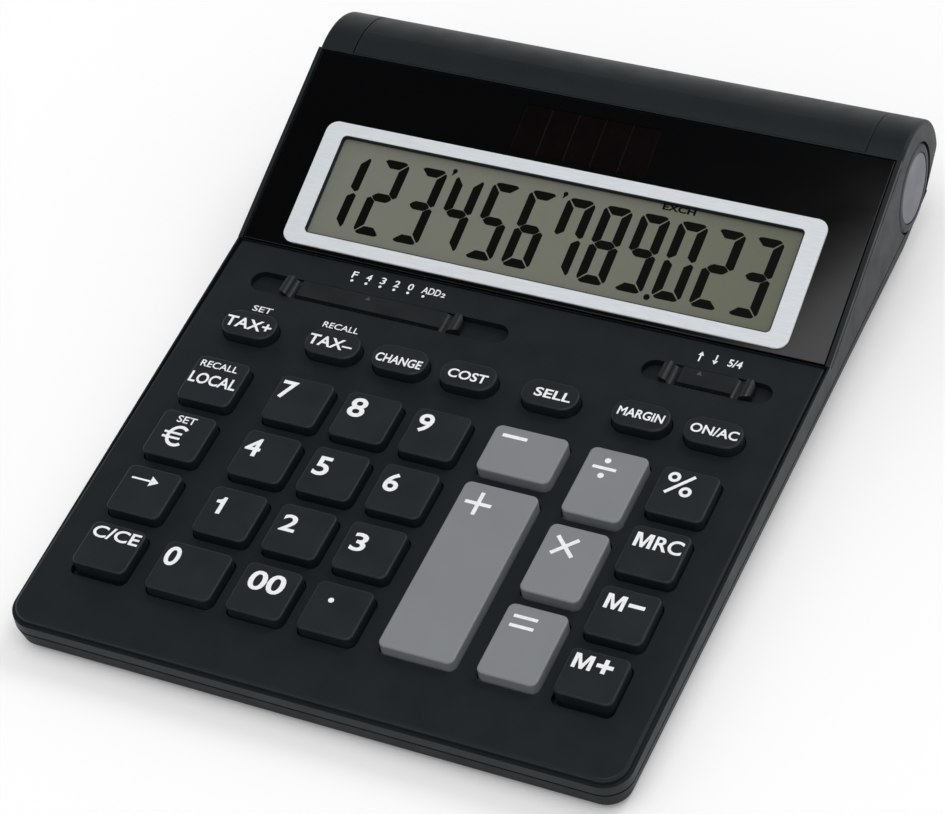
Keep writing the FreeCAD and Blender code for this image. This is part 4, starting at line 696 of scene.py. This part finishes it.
# Half the floor's width, in metres
REACH = 6.0
floor_data = bpy.data.meshes.new("floor")
floor_data.from_pydata([(-REACH, -REACH, 0), (REACH, -REACH, 0), (REACH, REACH, 0),
                        (-REACH, REACH, 0)], [], [(0, 1, 2, 3)])
floor = bpy.data.objects.new("floor", floor_data)
scene.collection.objects.link(floor)
# The floor's own glow lifts it to the photograph's white, and lights nothing
GLOW = 0.11
ground = Finish("floor", 0.9)
ground.colour(ground.mottled(ground.noise(400.0), (0.88, 0.88, 0.88), (0.9, 0.9, 0.9)))
ground.shader.inputs["Emission Color"].default_value = (1.0, 1.0, 1.0, 1.0)
ground.shader.inputs["Specular IOR Level"].default_value = 0.1
ground.link(ground.sums("MULTIPLY", ground.shown(), GLOW),
            ground.shader.inputs["Emission Strength"])
floor_data.materials.append(ground.material)

# The world lights evenly, and shows white up to one height and a dim ceiling from another
LIGHT = 0.5
WHITE_UP_TO = 0.25
DIM_FROM = 0.6
world = bpy.data.worlds.new("studio")
scene.world = world
sky = Tree(world)
lamp = sky.add("ShaderNodeBackground")
lamp.inputs["Color"].default_value = (1.0, 1.0, 1.0, 1.0)
lamp.inputs["Strength"].default_value = LIGHT
height = sky.add("ShaderNodeSeparateXYZ")
sky.link(sky.add("ShaderNodeTexCoord").outputs["Generated"], height.inputs["Vector"])
backdrop = sky.add("ShaderNodeBackground")
backdrop.inputs["Strength"].default_value = 1.0
sky.link(sky.ramp(height.outputs["Z"], [(WHITE_UP_TO, (1.0, 1.0, 1.0)),
                                        (DIM_FROM, (0.045, 0.047, 0.052))]),
         backdrop.inputs["Color"])
choice = sky.add("ShaderNodeMixShader")
sky.link(sky.shown(), choice.inputs["Fac"])
sky.link(lamp.outputs["Background"], choice.inputs[1])
sky.link(backdrop.outputs["Background"], choice.inputs[2])
sky.link(choice.outputs["Shader"], sky.add("ShaderNodeOutputWorld").inputs["Surface"])


def sun(name, towards, strength, degrees):
    """Lamp that shines from a direction and is as broad as its degrees."""
    data = bpy.data.lights.new(name, "SUN")
    data.energy = strength
    data.angle = math.radians(degrees)
    item = bpy.data.objects.new(name, data)
    item.rotation_euler = Vector(towards).to_track_quat("Z", "Y").to_euler()
    scene.collection.objects.link(item)


# Both shine from where no gloss surface mirrors them into the camera
sun("key_light", (0.30, 0.62, 0.72), 0.6, 25)
sun("top_light", (0.10, -0.20, 0.97), 1.15, 54)

# Camera at the photograph's place, with the directions of its picture in the room
camera_data = bpy.data.cameras.new("camera")
camera_data.lens = 120.13
camera_data.sensor_width = 36.0
camera_data.clip_start = 0.01
camera_data.clip_end = 50.0
camera = bpy.data.objects.new("camera", camera_data)
right = Vector((0.9052771, 0.4076372, -0.1196047))
down = Vector((0.2143779, -0.6814155, -0.6997964))
forward = Vector((-0.3667635, 0.6078691, -0.7042583))
turn = Matrix((right, -down, -forward)).transposed()
camera.matrix_world = Matrix.Translation((0.26937, -0.45488, 0.52819)) @ turn.to_4x4()
scene.collection.objects.link(camera)
scene.camera = camera
scene.view_settings.view_transform = "Standard"
